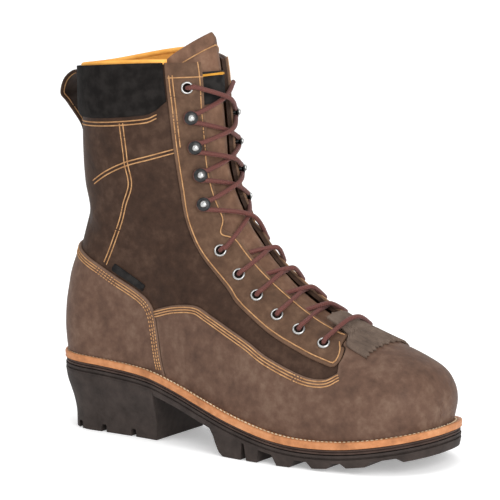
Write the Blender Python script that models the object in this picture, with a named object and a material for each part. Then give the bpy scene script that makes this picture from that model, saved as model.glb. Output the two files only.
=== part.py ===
"""Right logger boot, modelled as the pieces that a bootmaker puts together.

Metres, +Z up, +X towards the toe, -Y towards the outer (lateral) side.
The origin is on the floor, in the middle of the heel's bottom face.
"""
import math

import bpy
import bmesh
import numpy as np

# Driving dimensions of the sole
LENGTH = 0.316            # outsole, heel back to toe tip
BALL_WIDTH = 0.100        # upper at the ball, outside of the leather
HEEL_SETBACK = 0.052      # heel back to the middle of the heel's bottom face
HEEL_LENGTH = 0.097       # heel back to the heel breast
HEEL_RISE = 0.0525        # floor to the underside of the welt at the heel
FOREFOOT_RISE = 0.0132    # floor to the underside of the welt at the ball
SPRING_START = 0.68       # where the sole leaves the floor, share of length
TOE_SPRING = 0.0130       # lift of the outsole's tip from the floor
WELT_THICK = 0.0048
WELT_LEDGE = 0.0072       # welt shown outside the upper at the forefoot
WELT_INNER = 0.007        # welt's hidden margin under the upper
MIDSOLE_THICK = 0.0037
MIDSOLE_INSET = 0.0010
SOLE_BODY = 0.0055        # outsole between midsole and lugs
LUG_REACH = 0.024         # lug length in from the sole's edge
CHANNEL = 0.005           # long gap between side lugs and middle lugs
NOTCH_DEPTH = 0.0055      # grooves across the heel's bottom
NOTCH_WIDTH = 0.0045
HEEL_TAPER = 0.0085       # heel block's draw-in at the floor
INSOLE_THICK = 0.003
INSOLE_EASE = 0.0012      # clearance of the insole's edge inside the upper

# Driving dimensions of the upper
TOE_HEIGHT = 0.076        # floor to the top of the toe box
COLLAR_HEIGHT = 0.266     # floor to the collar at the back
SHAFT_WIDTH = 0.095       # collar, side to side
HEEL_WIDTH = 0.067        # upper at the heel
WALL = 0.0026             # leather and lining together
OVERLAY = 0.0016          # thickness of a raised leather piece
GAP = 0.0003              # clearance between pieces that touch
LAY_GAP = 0.0004          # clearance under a raised piece of leather
SEAT_GAP = 0.0005         # clearance of the upper's foot over the welt
THROAT_HALF = 0.0160      # half the opening between the eyestays
THROAT_ROUND = 0.012      # length over which the throat opens
THROAT_START = 0.287      # throat's front, as a share of the ridge
TONGUE_THICK = 0.003
TONGUE_CLEAR = 0.0014     # tongue's clearance inside the upper
TONGUE_HALF = 0.050       # half width of the tongue's top, along its curve
TONGUE_ROOT = 0.026       # half width of the tongue's foot
TONGUE_DROP = 0.024       # fall of the tongue's top edge to its corners
TONGUE_TUCK = 0.012       # tongue hidden under the vamp
CUFF_THICK = 0.003        # padded cuff
BACKSTAY_HALF = 0.009     # half width of the strip down the back
LOOP_HALF = 0.011         # half width of the pull loop
LOOP_OUT = 0.0205         # reach of the pull loop behind the shaft
LOOP_TALL = 0.042         # height of the pull loop
STRAP_THICK = 0.0024
KILTIE_THICK = 0.0016
KILTIE_RISE = 0.0031      # kiltie's height over the upper's surface
EYELET_RADIUS = 0.0045
EYELET_BORE = 0.0026
EYELET_THICK = 0.0012
HOOK_BASE = 0.0048
HOOK_BALL = 0.0032
HOOK_TALL = 0.0078
LACE_RADIUS = 0.0017
LACE_SPREAD = 0.0026      # shift that parts two laces at one eyelet
LACE_RISE = 0.0052        # lace's middle over the eyestay at an eyelet
HOOK_RISE = 0.0043        # lace's middle over the eyestay at a hook
LACE_CREST = 0.0031       # lace's middle over the ridge at the throat
KILTIE_CREST = 0.0078     # the same where the lace crosses the kiltie
SEAT_LIFT = 0.0006        # hardware's clearance over the curved eyestay
LABEL_DROP = 0.006        # label's top below the collar
LABEL_TALL = 0.022
LABEL_HALF = 0.020
LABEL_THICK = 0.0008
KILTIE_TOOTH = 0.006      # depth of the fringe's teeth
KILTIE_COLUMNS = 7        # mesh steps to each side, one tooth for every two
TONGUE_RISE = 0.022       # tongue's peak above the collar
COLLAR_LIFT = 0.006       # collar's front above its back
LATERAL_RIM = 0.002       # swell of the collar's rim on the outer side
MEDIAL_RIM = 0.007        # swell of the collar's rim on the inner side
RIM_FALL = 0.12           # share of the back line over which the swell fades
SHANK_BODY = 0.0075       # outsole under the arch
FEATHER_LINES = 16        # mesh sections from toe tip to heel back
BACK_LINES = 11           # mesh sections up the back
RIB_POINTS = 8            # mesh steps along a section

# Names of the two sides, as the sign of Y
LATERAL = -1.0
MEDIAL = 1.0

# Plan of the upper: share of length, lateral and medial half widths as
# shares of the ball width, and centre line's shift to the medial side
PLAN = {
    "along": (0.00, 0.20, 0.30, 0.40, 0.50, 0.60, 0.68, 0.76, 0.85, 0.93, 1.00),
    "lateral": (0.335, 0.335, 0.350, 0.390, 0.445, 0.490, 0.510, 0.508, 0.480, 0.445, 0.41),
    "medial": (0.335, 0.330, 0.310, 0.300, 0.350, 0.425, 0.470, 0.490, 0.475, 0.445, 0.41),
    "shift": (0.00, 0.00, 0.00, 0.005, 0.015, 0.030, 0.045, 0.055, 0.062, 0.068, 0.07),
}

# Height of the seat: share of length, share of the heel's extra rise
SEAT = {
    "along": (0.00, 0.10, 0.20, 0.28, 0.36, 0.45, 0.55, 0.65, 0.74, 0.84, 0.92, 1.00),
    "heel": (1.00, 0.98, 0.935, 0.875, 0.725, 0.505, 0.272, 0.10, 0.03, 0.00, 0.00, 0.00),
}

# Ridge of the upper from the toe tip to the collar's front: share of
# length, share of toe height and share of the rise from toe to collar,
# rounding distance as a share of ball width, and squareness of the round
RIDGE = {
    "along": (0.970, 0.977, 0.969, 0.944, 0.896, 0.826, 0.753, 0.685, 0.618,
              0.553, 0.500, 0.460, 0.439, 0.431, 0.424, 0.418, 0.395),
    "toe": (0.43, 0.57, 0.73, 0.87, 0.97, 1.00, 1.00, 1.00, 1.00,
            1.00, 1.00, 1.00, 1.00, 1.00, 1.00, 1.00, 1.00),
    "rise": (0.00, 0.00, 0.00, 0.00, 0.00, 0.030, 0.075, 0.130, 0.210,
             0.310, 0.420, 0.530, 0.640, 0.760, 0.870, 1.00, 1.20),
    "round": (0.47, 0.47, 0.47, 0.48, 0.50, 0.52, 0.56, 0.62, 0.68,
              0.68, 0.69, 0.70, 0.71, 0.72, 0.72, 0.72, 0.70),
    "square": (2.4, 2.4, 2.4, 2.4, 2.4, 2.3, 2.2, 2.1, 2.05,
               2.0, 1.95, 1.80, 1.68, 1.62, 1.60, 1.60, 1.60),
}

# Back line of the upper: share of collar height, distance in from the
# heel back as a share of length, rounding as a share of heel width
BACK = {
    "up": (0.18, 0.24, 0.28, 0.34, 0.41, 0.50, 0.57, 0.62, 0.69, 0.80, 0.88, 1.00, 1.15),
    "inset": (0.017, 0.010, 0.008, 0.009, 0.018, 0.044, 0.065, 0.075, 0.066, 0.060, 0.060, 0.061, 0.066),
    "round": (0.50, 0.50, 0.50, 0.50, 0.50, 0.52, 0.56, 0.62, 0.70, 0.78, 0.82, 0.85, 0.85),
}

# Half width of the shaft: share of collar height, share of shaft width
SHAFT = {
    "up": (0.40, 0.50, 0.58, 0.66, 0.76, 0.88, 1.00, 1.15),
    "half": (0.365, 0.375, 0.395, 0.430, 0.470, 0.495, 0.500, 0.490),
    "blend": (0.00, 0.55, 0.88, 1.00, 1.00, 1.00, 1.00, 1.00),
}

# Pairing of the ridge with the base line, feather then back: shares of each
FAN = {
    "ridge": (0.00, 0.10, 0.20, 0.33, 0.44, 0.53, 0.60, 0.66, 0.70, 0.75, 0.82, 0.90, 1.00),
    "base": (0.00, 0.05, 0.10, 0.17, 0.25, 0.36, 0.47, 0.56, 0.62, 0.69, 0.77, 0.87, 1.00),
}

# Forefoot lugs: centre and half widths at floor and root, shares of length
LUGS = {
    "along": (0.545, 0.597, 0.680, 0.769, 0.853, 0.985),
    "floor": (0.0222, 0.0142, 0.0165, 0.0174, 0.0206, 0.0411),
    "root": (0.0269, 0.0190, 0.0285, 0.0300, 0.0332, 0.0522),
}

# Underside of the outsole: share of length, share of the shank's height
ARCH = {
    "along": (0.00, 0.480, 0.497, 0.508, 0.520, 1.00),
    "arch": (1.00, 1.00, 0.45, 0.12, 0.00, 0.00),
}

# Heel block: share of its height, share of its taper
HEEL = {
    "up": (0.00, 0.22, 0.45, 0.65, 0.83, 1.00),
    "taper": (1.00, 0.98, 0.80, 0.50, 0.20, 0.05),
}

# Heel grooves: centres as shares of the heel's length
NOTCHES = (0.235, 0.475, 0.755)


def smooth(table, column, key, values):
    """Read a column of a table at given places with a smooth, unkinked curve."""
    xs = np.array(table[key], float)
    ys = np.array(table[column], float)
    if xs[0] > xs[-1]:
        xs, ys = xs[::-1], ys[::-1]
    step = np.diff(xs)
    slope = np.diff(ys) / step
    tangent = np.zeros_like(ys)
    tangent[0], tangent[-1] = slope[0], slope[-1]
    for i in range(1, len(xs) - 1):
        if slope[i - 1] * slope[i] > 0:
            first = 2 * step[i] + step[i - 1]
            second = step[i] + 2 * step[i - 1]
            tangent[i] = (first + second) / (first / slope[i - 1] + second / slope[i])
    x = np.clip(np.asarray(values, float), xs[0], xs[-1])
    i = np.clip(np.searchsorted(xs, x) - 1, 0, len(xs) - 2)
    t = (x - xs[i]) / step[i]
    return ((1 + 2 * t) * (1 - t) ** 2 * ys[i] + t * (1 - t) ** 2 * step[i] * tangent[i]
            + t * t * (3 - 2 * t) * ys[i + 1] + t * t * (t - 1) * step[i] * tangent[i + 1])


def round_off(share, square):
    """Superellipse quarter: 0 at share 0, 1 from share 1 on."""
    share = np.clip(share, 0.0, 1.0)
    return (1 - (1 - share) ** square) ** (1 / square)


def seat_height(along):
    """Height of the welt's top at a distance from the heel back."""
    share = np.asarray(along) / LENGTH
    heel = smooth(SEAT, "heel", "along", share)
    return FOREFOOT_RISE + WELT_THICK + (HEEL_RISE - FOREFOOT_RISE) * heel + spring(share)


def spring(share):
    """Lift of the sole in front of the ball."""
    return TOE_SPRING * np.clip((share - SPRING_START) / (1 - SPRING_START), 0, None) ** 1.6


def ridge_curve(count=160):
    """Points of the ridge, with rounding distance and squareness at each."""
    rows = np.array([RIDGE[name] for name in ("along", "toe", "rise", "round", "square")]).T
    rows = np.column_stack([
        rows[:, 0] * LENGTH,
        rows[:, 1] * TOE_HEIGHT + rows[:, 2] * (COLLAR_HEIGHT - TOE_HEIGHT),
        rows[:, 3] * BALL_WIDTH,
        rows[:, 4],
    ])
    rows[0, 1] = seat_height(rows[0, 0]) + GAP
    return smooth_path(rows, count)


def smooth_path(rows, count):
    """Even points on a Catmull-Rom curve through the rows."""
    rows = np.asarray(rows, float)
    ends = np.vstack([2 * rows[0] - rows[1], rows, 2 * rows[-1] - rows[-2]])
    fine = []
    for i in range(len(rows) - 1):
        p0, p1, p2, p3 = ends[i:i + 4]
        for t in np.linspace(0, 1, 24, endpoint=False):
            fine.append(0.5 * (2 * p1 + (p2 - p0) * t + (2 * p0 - 5 * p1 + 4 * p2 - p3) * t ** 2
                               + (3 * p1 - p0 - 3 * p2 + p3) * t ** 3))
    fine.append(rows[-1])
    fine = np.array(fine)
    length = np.concatenate([[0], np.cumsum(np.linalg.norm(np.diff(fine[:, :2], axis=0), axis=1))])
    places = np.linspace(0, length[-1], count)
    return np.column_stack([np.interp(places, length, fine[:, k]) for k in range(fine.shape[1])])


def back_inset(up):
    """Distance of the back line from the heel back, at a height."""
    return smooth(BACK, "inset", "up", np.asarray(up) / COLLAR_HEIGHT) * LENGTH


def half_width(along, up, side):
    """Half width of the upper at a place of its side view."""
    along, up = np.broadcast_arrays(np.asarray(along, float), np.asarray(up, float))
    name = "lateral" if side == LATERAL else "medial"
    heel_share = HEEL_WIDTH / BALL_WIDTH
    foot = smooth(PLAN, name, "along", along / LENGTH) / PLAN[name][0] * heel_share / 2
    ball = smooth(PLAN, name, "along", along / LENGTH)
    blend = np.clip((along / LENGTH - 0.2) / 0.3, 0, 1)
    foot = (foot * (1 - blend) + ball * blend) * BALL_WIDTH
    high = up / COLLAR_HEIGHT
    shaft = smooth(SHAFT, "half", "up", high) * SHAFT_WIDTH
    mix = smooth(SHAFT, "blend", "up", high)
    whole = foot * (1 - mix) + shaft * mix
    back = smooth(BACK, "round", "up", high) * HEEL_WIDTH
    back_share = (along - back_inset(up)) / back
    ridge = RIDGE_LINE
    flat = np.stack([along.ravel(), up.ravel()], -1)
    away = np.linalg.norm(flat[:, None, :] - ridge[None, :, :2], axis=2)
    near = np.argmin(away, axis=1)
    reach = away[np.arange(len(near)), near].reshape(along.shape)
    around = ridge[near, 2].reshape(along.shape)
    square = ridge[near, 3].reshape(along.shape)
    return whole * round_off(back_share, 2.15) * round_off(reach / around, square)


def centre_line(along):
    """Sideways place of the upper's middle."""
    return smooth(PLAN, "shift", "along", np.asarray(along) / LENGTH) * BALL_WIDTH



# Raised edges in side view: shares of length and of collar height
COUNTER_EDGE = {
    "along": (-0.030, 0.020, 0.077, 0.136, 0.194, 0.273, 0.302, 0.314, 0.326, 0.341, 0.368),
    "up": (0.560, 0.537, 0.506, 0.476, 0.441, 0.394, 0.355, 0.301, 0.226, 0.160, -0.020),
}
VAMP_EDGE = {
    "along": (0.364, 0.423, 0.463, 0.520, 0.571, 0.623, 0.710, 0.760, 0.787),
    "up": (0.381, 0.386, 0.367, 0.334, 0.305, 0.272, 0.236, 0.232, 0.247),
}
STAY_EDGE = {
    "along": (0.320, 0.338, 0.350, 0.363, 0.381, 0.420, 0.496, 0.527, 0.611, 0.698, 0.763,
              0.779, 0.782, 0.777, 0.766, 0.762),
    "up": (1.090, 0.894, 0.777, 0.687, 0.598, 0.518, 0.433, 0.398, 0.331, 0.286, 0.262,
           0.268, 0.284, 0.302, 0.318, 0.450),
}
CUFF_EDGE = {
    "along": (-0.050, 0.108, 0.209, 0.288, 0.312),
    "up": (0.866, 0.868, 0.875, 0.885, 0.897),
}
TAB_CORNERS = {
    "along": (0.183, 0.270, 0.276, 0.190),
    "up": (0.456, 0.404, 0.424, 0.477),
}

# Kiltie: ends as shares of length, then its flare from fringe to root
KILTIE = {"fringe": 0.873, "root": 0.703}
KILTIE_FLARE = {
    "t": (0.00, 0.40, 0.55, 0.75, 1.00),
    "half": (0.29, 0.27, 0.165, 0.140, 0.125),
    "rise": (1.00, 1.00, 1.00, 1.00, 1.00),
}

# Hardware in side view: shares of length and of collar height
EYELETS = {
    "along": (0.369, 0.461, 0.511, 0.561, 0.615, 0.669, 0.732),
    "up": (0.958, 0.530, 0.470, 0.420, 0.375, 0.341, 0.311),
}
HOOKS = {
    "along": (0.376, 0.385, 0.397, 0.411),
    "up": (0.878, 0.800, 0.725, 0.648),
}


def colour_of(name):
    """Material of a piece, made once for each finish."""
    red, green, blue, rough, metal = FINISHES[name]
    material = bpy.data.materials.get(name) or bpy.data.materials.new(name)
    material.use_nodes = True
    shader = material.node_tree.nodes["Principled BSDF"]
    shader.inputs["Base Color"].default_value = (red, green, blue, 1.0)
    shader.inputs["Roughness"].default_value = rough
    shader.inputs["Metallic"].default_value = metal
    return material


def place(name, work, finish, angle=40.0):
    """Turn a bmesh into a named object with its finish, shaded smooth."""
    bmesh.ops.remove_doubles(work, verts=work.verts, dist=1e-6)
    bmesh.ops.dissolve_degenerate(work, edges=work.edges, dist=1e-7)
    bmesh.ops.recalc_face_normals(work, faces=work.faces)
    mesh = bpy.data.meshes.new(name)
    work.to_mesh(mesh)
    work.free()
    item = bpy.data.objects.new(name, mesh)
    bpy.context.scene.collection.objects.link(item)
    mesh.shade_smooth()
    mesh.set_sharp_from_angle(angle=math.radians(angle))
    item.data.materials.append(colour_of(finish))
    return item


def hide_cutter(item):
    """Keep a cutter out of the model."""
    item.hide_render = True
    item.display_type = "WIRE"
    return item


def boolean(item, cutter, operation):
    """Join, cut or intersect with a hidden solid."""
    step = item.modifiers.new(operation.lower(), "BOOLEAN")
    step.operation = operation
    step.object = hide_cutter(cutter)
    return item


def sole_stations():
    """Places along the shoe of the sole's sections, toe tip first."""
    tip = RIDGE["along"][0] * LENGTH
    heel = float(back_inset(HEEL_RISE + WELT_THICK))
    even = [tip - (tip - heel) * (1 - math.cos(math.pi * i / FEATHER_LINES)) / 2
            for i in range(FEATHER_LINES + 1)]
    steps = [share * LENGTH for share in ARCH["along"][1:-1]] + [HEEL_LENGTH]
    near = [s for s in even if min(abs(s - other) for other in steps) > 0.004]
    return np.array(sorted(near + steps, reverse=True))


def outline(offset, stations=None):
    """Closed plan loop, toe tip, lateral side, heel, medial side, set out
    from the upper's foot by a distance."""
    along = sole_stations() if stations is None else stations
    up = seat_height(along)
    middle = centre_line(along)
    sides = []
    for side in (LATERAL, MEDIAL):
        sides.append(middle + side * half_width(along, up, side))
    loop = np.concatenate([
        np.column_stack([along, sides[0]]),
        np.column_stack([along, sides[1]])[-2:0:-1],
    ])
    loop[0, 1] = middle[0]
    loop[len(along) - 1, 1] = middle[-1]
    ahead = np.roll(loop, -1, axis=0) - np.roll(loop, 1, axis=0)
    ahead /= np.linalg.norm(ahead, axis=1)[:, None]
    outward = np.column_stack([-ahead[:, 1], ahead[:, 0]])
    if outward[0, 0] < 0:
        outward = -outward
    share = np.clip(loop[:, 0] / LENGTH, 0, 1)
    ledge = offset(share) if callable(offset) else offset
    return loop + outward * np.reshape(ledge, (-1, 1))


def ledge_out(extra=0.0):
    """Width of the welt outside the upper, narrower round the heel."""
    def width(share):
        full = np.clip((share - 0.15) / 0.35, 0, 1)
        return WELT_LEDGE * (0.58 + 0.42 * full) + extra
    return width


def world(loop, heights):
    """Plan points and heights as points in the shoe's own frame."""
    return [(float(x) - HEEL_SETBACK, float(y), float(z)) for (x, y), z in zip(loop, heights)]


def add_ring(work, loop, heights):
    """Vertices of one ring."""
    return [work.verts.new(point) for point in world(loop, heights)]


def close_sides(work, lower, upper, closed=True):
    """Quads between two rings of the same count."""
    count = len(lower)
    for i in range(count if closed else count - 1):
        j = (i + 1) % count
        work.faces.new((lower[i], lower[j], upper[j], upper[i]))


def cap(work, ring, pairs):
    """Strips across a ring, between paired points of its two sides."""
    for (a, b), (c, d) in zip(pairs[:-1], pairs[1:]):
        corners = []
        for index in (a, c, d, b):
            if ring[index] not in corners:
                corners.append(ring[index])
        work.faces.new(corners)


def loop_pairs(count):
    """Pairs across a full loop that starts at the toe tip."""
    half = count // 2
    return [(i, (count - i) % count) for i in range(half + 1)]


def slab(name, rings, finish, angle=40.0):
    """Solid from rings of a full loop, lowest first."""
    work = bmesh.new()
    made = [add_ring(work, loop, heights) for loop, heights in rings]
    for lower, upper in zip(made[:-1], made[1:]):
        close_sides(work, lower, upper)
    pairs = loop_pairs(len(made[0]))
    cap(work, made[0], pairs)
    cap(work, made[-1], pairs)
    return place(name, work, finish, angle)


def outsole_top(along):
    """Height of the outsole's top face."""
    return seat_height(along) - WELT_THICK - MIDSOLE_THICK - 2 * GAP


def under_sole(along):
    """Height of the outsole's lowest line, the heel block left out."""
    share = np.asarray(along) / LENGTH
    arch = smooth(ARCH, "arch", "along", share)
    return arch * (outsole_top(along) - SHANK_BODY) + (1 - arch) * spring(share)


def prism_across(name, corners, half_span):
    """Cutter: a side-view polygon drawn across the shoe."""
    work = bmesh.new()
    near = [work.verts.new((x - HEEL_SETBACK, -half_span, z)) for x, z in corners]
    far = [work.verts.new((x - HEEL_SETBACK, half_span, z)) for x, z in corners]
    close_sides(work, near, far)
    work.faces.new(near[::-1])
    work.faces.new(far)
    return place(name, work, "rubber")


def groove_corners():
    """Side-view outlines of the gaps between neighbouring lugs."""
    gaps = []
    for i in range(len(LUGS["along"]) - 1):
        left = LUGS["along"][i] * LENGTH
        right = LUGS["along"][i + 1] * LENGTH
        low = -SOLE_BODY
        foot_left = left + LUGS["floor"][i] * LENGTH
        foot_right = right - LUGS["floor"][i + 1] * LENGTH
        root_left = left + LUGS["root"][i] * LENGTH
        root_right = right - LUGS["root"][i + 1] * LENGTH
        top_left = float(outsole_top(root_left)) - SOLE_BODY
        top_right = float(outsole_top(root_right)) - SOLE_BODY
        floor_left = float(under_sole(foot_left))
        floor_right = float(under_sole(foot_right))
        gaps.append([(foot_left, low), (foot_right, low), (foot_right, floor_right),
                     (root_right, top_right), (root_left, top_left), (foot_left, floor_left)])
    return gaps


def channel(name, side):
    """Cutter: the long gap between the side lugs and the middle ones."""
    share = np.linspace(0.545, 0.925, 9)
    along = share * LENGTH
    middle = centre_line(along)
    edge = half_width(along, seat_height(along), side) + WELT_LEDGE
    top = outsole_top(along) - SOLE_BODY - GAP
    work = bmesh.new()
    rings = []
    for s, centre, reach, height in zip(along, middle, edge, top):
        outer = centre + side * (reach - LUG_REACH)
        inner = centre + side * (reach - LUG_REACH - CHANNEL)
        corners = [(outer, -SOLE_BODY), (inner, -SOLE_BODY), (inner, height), (outer, height)]
        rings.append([work.verts.new((s - HEEL_SETBACK, y, z)) for y, z in corners])
    for first, second in zip(rings[:-1], rings[1:]):
        close_sides(work, first, second)
    work.faces.new(rings[0])
    work.faces.new(rings[-1])
    return place(name, work, "rubber")


def heel_block():
    """Heel under the outsole, drawn in towards the floor."""
    stations = sole_stations()
    stations = stations[stations <= HEEL_LENGTH + 1e-9]
    count = len(sole_stations())
    full = outline(ledge_out())
    work = bmesh.new()
    rings = []
    for up, taper in zip(HEEL["up"], HEEL["taper"]):
        inset = taper * HEEL_TAPER
        loop = outline(ledge_out(-inset))
        first = count - len(stations)
        part = loop[first:count + len(stations) - 1].copy()
        breast = HEEL_LENGTH - HEEL_TAPER * 0.25 * (1 - up)
        part[0, 0] = breast
        part[-1, 0] = breast
        top = outsole_top(full[first:count + len(stations) - 1, 0]) - SHANK_BODY * 0.6
        rings.append(add_ring(work, part, up * top))
    for lower, upper in zip(rings[:-1], rings[1:]):
        close_sides(work, lower, upper)
    last = len(rings[0]) - 1
    pairs = [(i, last - i) for i in range(last // 2 + 1)]
    cap(work, rings[0], pairs)
    cap(work, rings[-1], pairs)
    return place("heel_cutter", work, "rubber")


def build_outsole():
    """Rubber outsole with lugs, shank and heel in one moulding."""
    loop = outline(ledge_out(-MIDSOLE_INSET / 2))
    draft = outline(ledge_out(-MIDSOLE_INSET * 1.5))
    item = slab("outsole", [(draft, under_sole(draft[:, 0])), (loop, outsole_top(loop[:, 0]))],
                "rubber", 30.0)
    for i, corners in enumerate(groove_corners()):
        boolean(item, prism_across(f"groove_cutter_{i}", corners, BALL_WIDTH), "DIFFERENCE")
    for side, label in ((LATERAL, "lateral"), (MEDIAL, "medial")):
        boolean(item, channel(f"channel_cutter_{label}", side), "DIFFERENCE")
    heel = heel_block()
    for i, share in enumerate(NOTCHES):
        middle = share * HEEL_LENGTH
        corners = [(middle - NOTCH_WIDTH / 2, -NOTCH_DEPTH), (middle + NOTCH_WIDTH / 2, -NOTCH_DEPTH),
                   (middle + NOTCH_WIDTH / 2, NOTCH_DEPTH), (middle - NOTCH_WIDTH / 2, NOTCH_DEPTH)]
        boolean(heel, prism_across(f"notch_cutter_{i}", corners, BALL_WIDTH), "DIFFERENCE")
    boolean(item, heel, "UNION")
    return item


def build_midsole():
    """Thin rubber layer between outsole and welt."""
    loop = outline(ledge_out(-MIDSOLE_INSET))
    along = loop[:, 0]
    top = seat_height(along) - WELT_THICK - GAP
    return slab("midsole", [(loop, top - MIDSOLE_THICK), (loop, top)], "midsole")


def build_welt():
    """Leather strip round the whole shoe."""
    outer = outline(ledge_out())
    inner = outline(-WELT_INNER)
    work = bmesh.new()
    rings = []
    for loop, drop in ((outer, WELT_THICK), (outer, 0.0), (inner, 0.0), (inner, WELT_THICK)):
        rings.append(add_ring(work, loop, seat_height(loop[:, 0]) - drop))
    for first, second in zip(rings, rings[1:] + rings[:1]):
        close_sides(work, first, second)
    return place("welt", work, "welt_leather")


def build_insole():
    """Board inside the upper, with its filler inside the welt."""
    core = outline(-WELT_INNER - GAP)
    board = outline(-WALL - INSOLE_EASE)
    core_seat = seat_height(core[:, 0])
    board_seat = seat_height(board[:, 0])
    rings = [
        (core, core_seat - WELT_THICK),
        (core, core_seat + GAP),
        (board, board_seat + GAP),
        (board, board_seat + GAP + INSOLE_THICK),
    ]
    return slab("insole", rings, "lining")


def collar_front_place():
    """Arc length of the ridge from the toe tip to the collar."""
    up = RIDGE_LINE[:, 1]
    last = np.nonzero(up > COLLAR_HEIGHT + COLLAR_LIFT)[0]
    last = last[0] if len(last) else len(up) - 1
    return RIDGE_ARC[last]


def ridge_point(arc):
    """Place of the ridge at an arc length from the toe tip."""
    return np.array([np.interp(arc, RIDGE_ARC, RIDGE_LINE[:, 0]),
                     np.interp(arc, RIDGE_ARC, RIDGE_LINE[:, 1])])


def base_path():
    """Feather line from toe tip to heel, then the back line to the collar."""
    along = sole_stations()
    feather = np.column_stack([along, seat_height(along) + SEAT_GAP])
    low = feather[-1, 1]
    heights = np.linspace(low, COLLAR_HEIGHT, BACK_LINES + 1)[1:]
    back = np.column_stack([back_inset(heights), heights])
    return np.vstack([feather, back]), len(feather) - 1


def fan():
    """Ends of the upper's sections: ridge point, base point, and how far the
    section has turned from the feather to the back."""
    base, corner = base_path()
    arc = np.concatenate([[0], np.cumsum(np.linalg.norm(np.diff(base, axis=0), axis=1))])
    share = arc / arc[-1]
    ridge_share = smooth(FAN, "ridge", "base", share)
    whole = collar_front_place()
    tops = np.array([ridge_point(r * whole) for r in ridge_share])
    turn = np.clip((share - 0.45) / (share[corner] - 0.45), 0, 1)
    return tops, base, turn, ridge_share * whole


def throat_gap(arc):
    """Half width of the throat at an arc length along the ridge."""
    start = THROAT_START * collar_front_place()
    return THROAT_HALF * round_off((arc - start) / THROAT_ROUND, 2.0) * (arc > start)


def chord(top, base, shares, swell):
    """Side-view points between ridge and base, bowed up by a swell."""
    shares = np.asarray(shares, float)
    line = top + shares[:, None] * (base - top)
    line[:, 1] += swell * np.sin(math.pi * np.clip(shares, 0, 1))
    return line


def section(top, base, turn, arc, side, swell=0.0):
    """Points of one section, from the throat or ridge to the base."""
    fine = np.linspace(0, 1, 400)
    line = chord(top, base, fine, swell)
    wide = half_width(line[:, 0], line[:, 1], side)
    gap = throat_gap(arc)
    start = 0.0
    if gap > 0:
        grown = np.maximum.accumulate(wide[:200])
        start = float(np.interp(gap, grown, fine[:200]))
    t = np.linspace(0, 1, RIB_POINTS + 1)
    steps = (1 - turn) * (1 - np.cos(math.pi / 2 * t)) + turn * (1 - np.cos(math.pi * t)) / 2
    places = start + (1 - start) * steps
    line = chord(top, base, places, swell)
    wide = half_width(line[:, 0], line[:, 1], side)
    if gap > 0:
        wide[0] = gap
    else:
        wide[0] = 0.0
    if turn >= 1.0:
        wide[-1] = 0.0
    return np.column_stack([line[:, 0] - HEEL_SETBACK, centre_line(line[:, 0]) + side * wide, line[:, 1]])


def upper_surface():
    """Outer face of the upper as one open sheet, in triangles so that every
    piece offset from it has the same facets."""
    work = bmesh.new()
    tops, bases, turns, arcs = fan()
    for side in (LATERAL, MEDIAL):
        rows = []
        rim = LATERAL_RIM if side == LATERAL else MEDIAL_RIM
        fade = np.clip((bases[:, 1] / COLLAR_HEIGHT - 1 + RIM_FALL) / RIM_FALL, 0, 1) * (turns >= 1)
        for top, base, turn, arc, share in zip(tops, bases, turns, arcs, fade):
            points = section(top, base, turn, float(arc), side, rim * share)
            rows.append([work.verts.new(point) for point in points])
        for first, second in zip(rows[:-1], rows[1:]):
            for j in range(RIB_POINTS):
                corners = (first[j], second[j], second[j + 1], first[j + 1])
                work.faces.new(corners if side == LATERAL else corners[::-1])
    bmesh.ops.remove_doubles(work, verts=work.verts, dist=1e-6)
    bmesh.ops.dissolve_degenerate(work, edges=work.edges, dist=1e-7)
    bmesh.ops.recalc_face_normals(work, faces=work.faces)
    face_outward(work)
    bmesh.ops.triangulate(work, faces=work.faces)
    return work


def face_outward(work):
    """Turn an open sheet's normals away from the middle of the shoe."""
    middle = np.mean([vert.co[:] for vert in work.verts], axis=0)
    total = 0.0
    for face in work.faces:
        centre = face.calc_center_median()
        total += (centre[1] - middle[1]) * face.normal[1] * face.calc_area()
    if total < 0:
        bmesh.ops.reverse_faces(work, faces=work.faces)


def set_out(vert, distance):
    """Place of a vertex moved along its normal; at its foot it stays on the welt."""
    on_seat = abs(vert.co.z - float(seat_height(vert.co.x + HEEL_SETBACK)) - SEAT_GAP) < GAP
    way = vert.normal.copy()
    if not on_seat:
        return vert.co + way * distance
    way.z = 0.0
    point = vert.co + way.normalized() * distance
    point.z = float(seat_height(point.x + HEEL_SETBACK)) + SEAT_GAP
    return point


def thicken(work, low, high):
    """Closed solid between two offsets of an open sheet."""
    work.normal_update()
    work.verts.index_update()
    solid = bmesh.new()
    inner = [solid.verts.new(set_out(vert, low)) for vert in work.verts]
    outer = [solid.verts.new(set_out(vert, high)) for vert in work.verts]
    for face in work.faces:
        index = [vert.index for vert in face.verts]
        solid.faces.new([outer[i] for i in index])
        solid.faces.new([inner[i] for i in reversed(index)])
    for edge in work.edges:
        if edge.is_boundary:
            a, b = (vert.index for vert in edge.verts)
            solid.faces.new((inner[a], inner[b], outer[b], outer[a]))
    work.free()
    return solid


def shares(table):
    """Side-view points of a table of shares."""
    return [np.array([a * LENGTH, u * COLLAR_HEIGHT]) for a, u in zip(table["along"], table["up"])]


def shifted(points, distance):
    """Side-view line set off to its left by a distance."""
    points = np.array(points)
    ahead = np.gradient(points, axis=0)
    ahead /= np.linalg.norm(ahead, axis=1)[:, None]
    return [np.array([x - distance * ay, y + distance * ax])
            for (x, y), (ax, ay) in zip(points, ahead)]


def side_cutter(name, points, near, far):
    """Cutter: a side-view outline drawn from one sideways place to another."""
    work = bmesh.new()
    rings = []
    for sideways in (near, far):
        rings.append([work.verts.new((x - HEEL_SETBACK, sideways, z)) for x, z in points])
    close_sides(work, rings[0], rings[1])
    work.faces.new(rings[0][::-1])
    work.faces.new(rings[1])
    return place(name, work, "leather")


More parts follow.
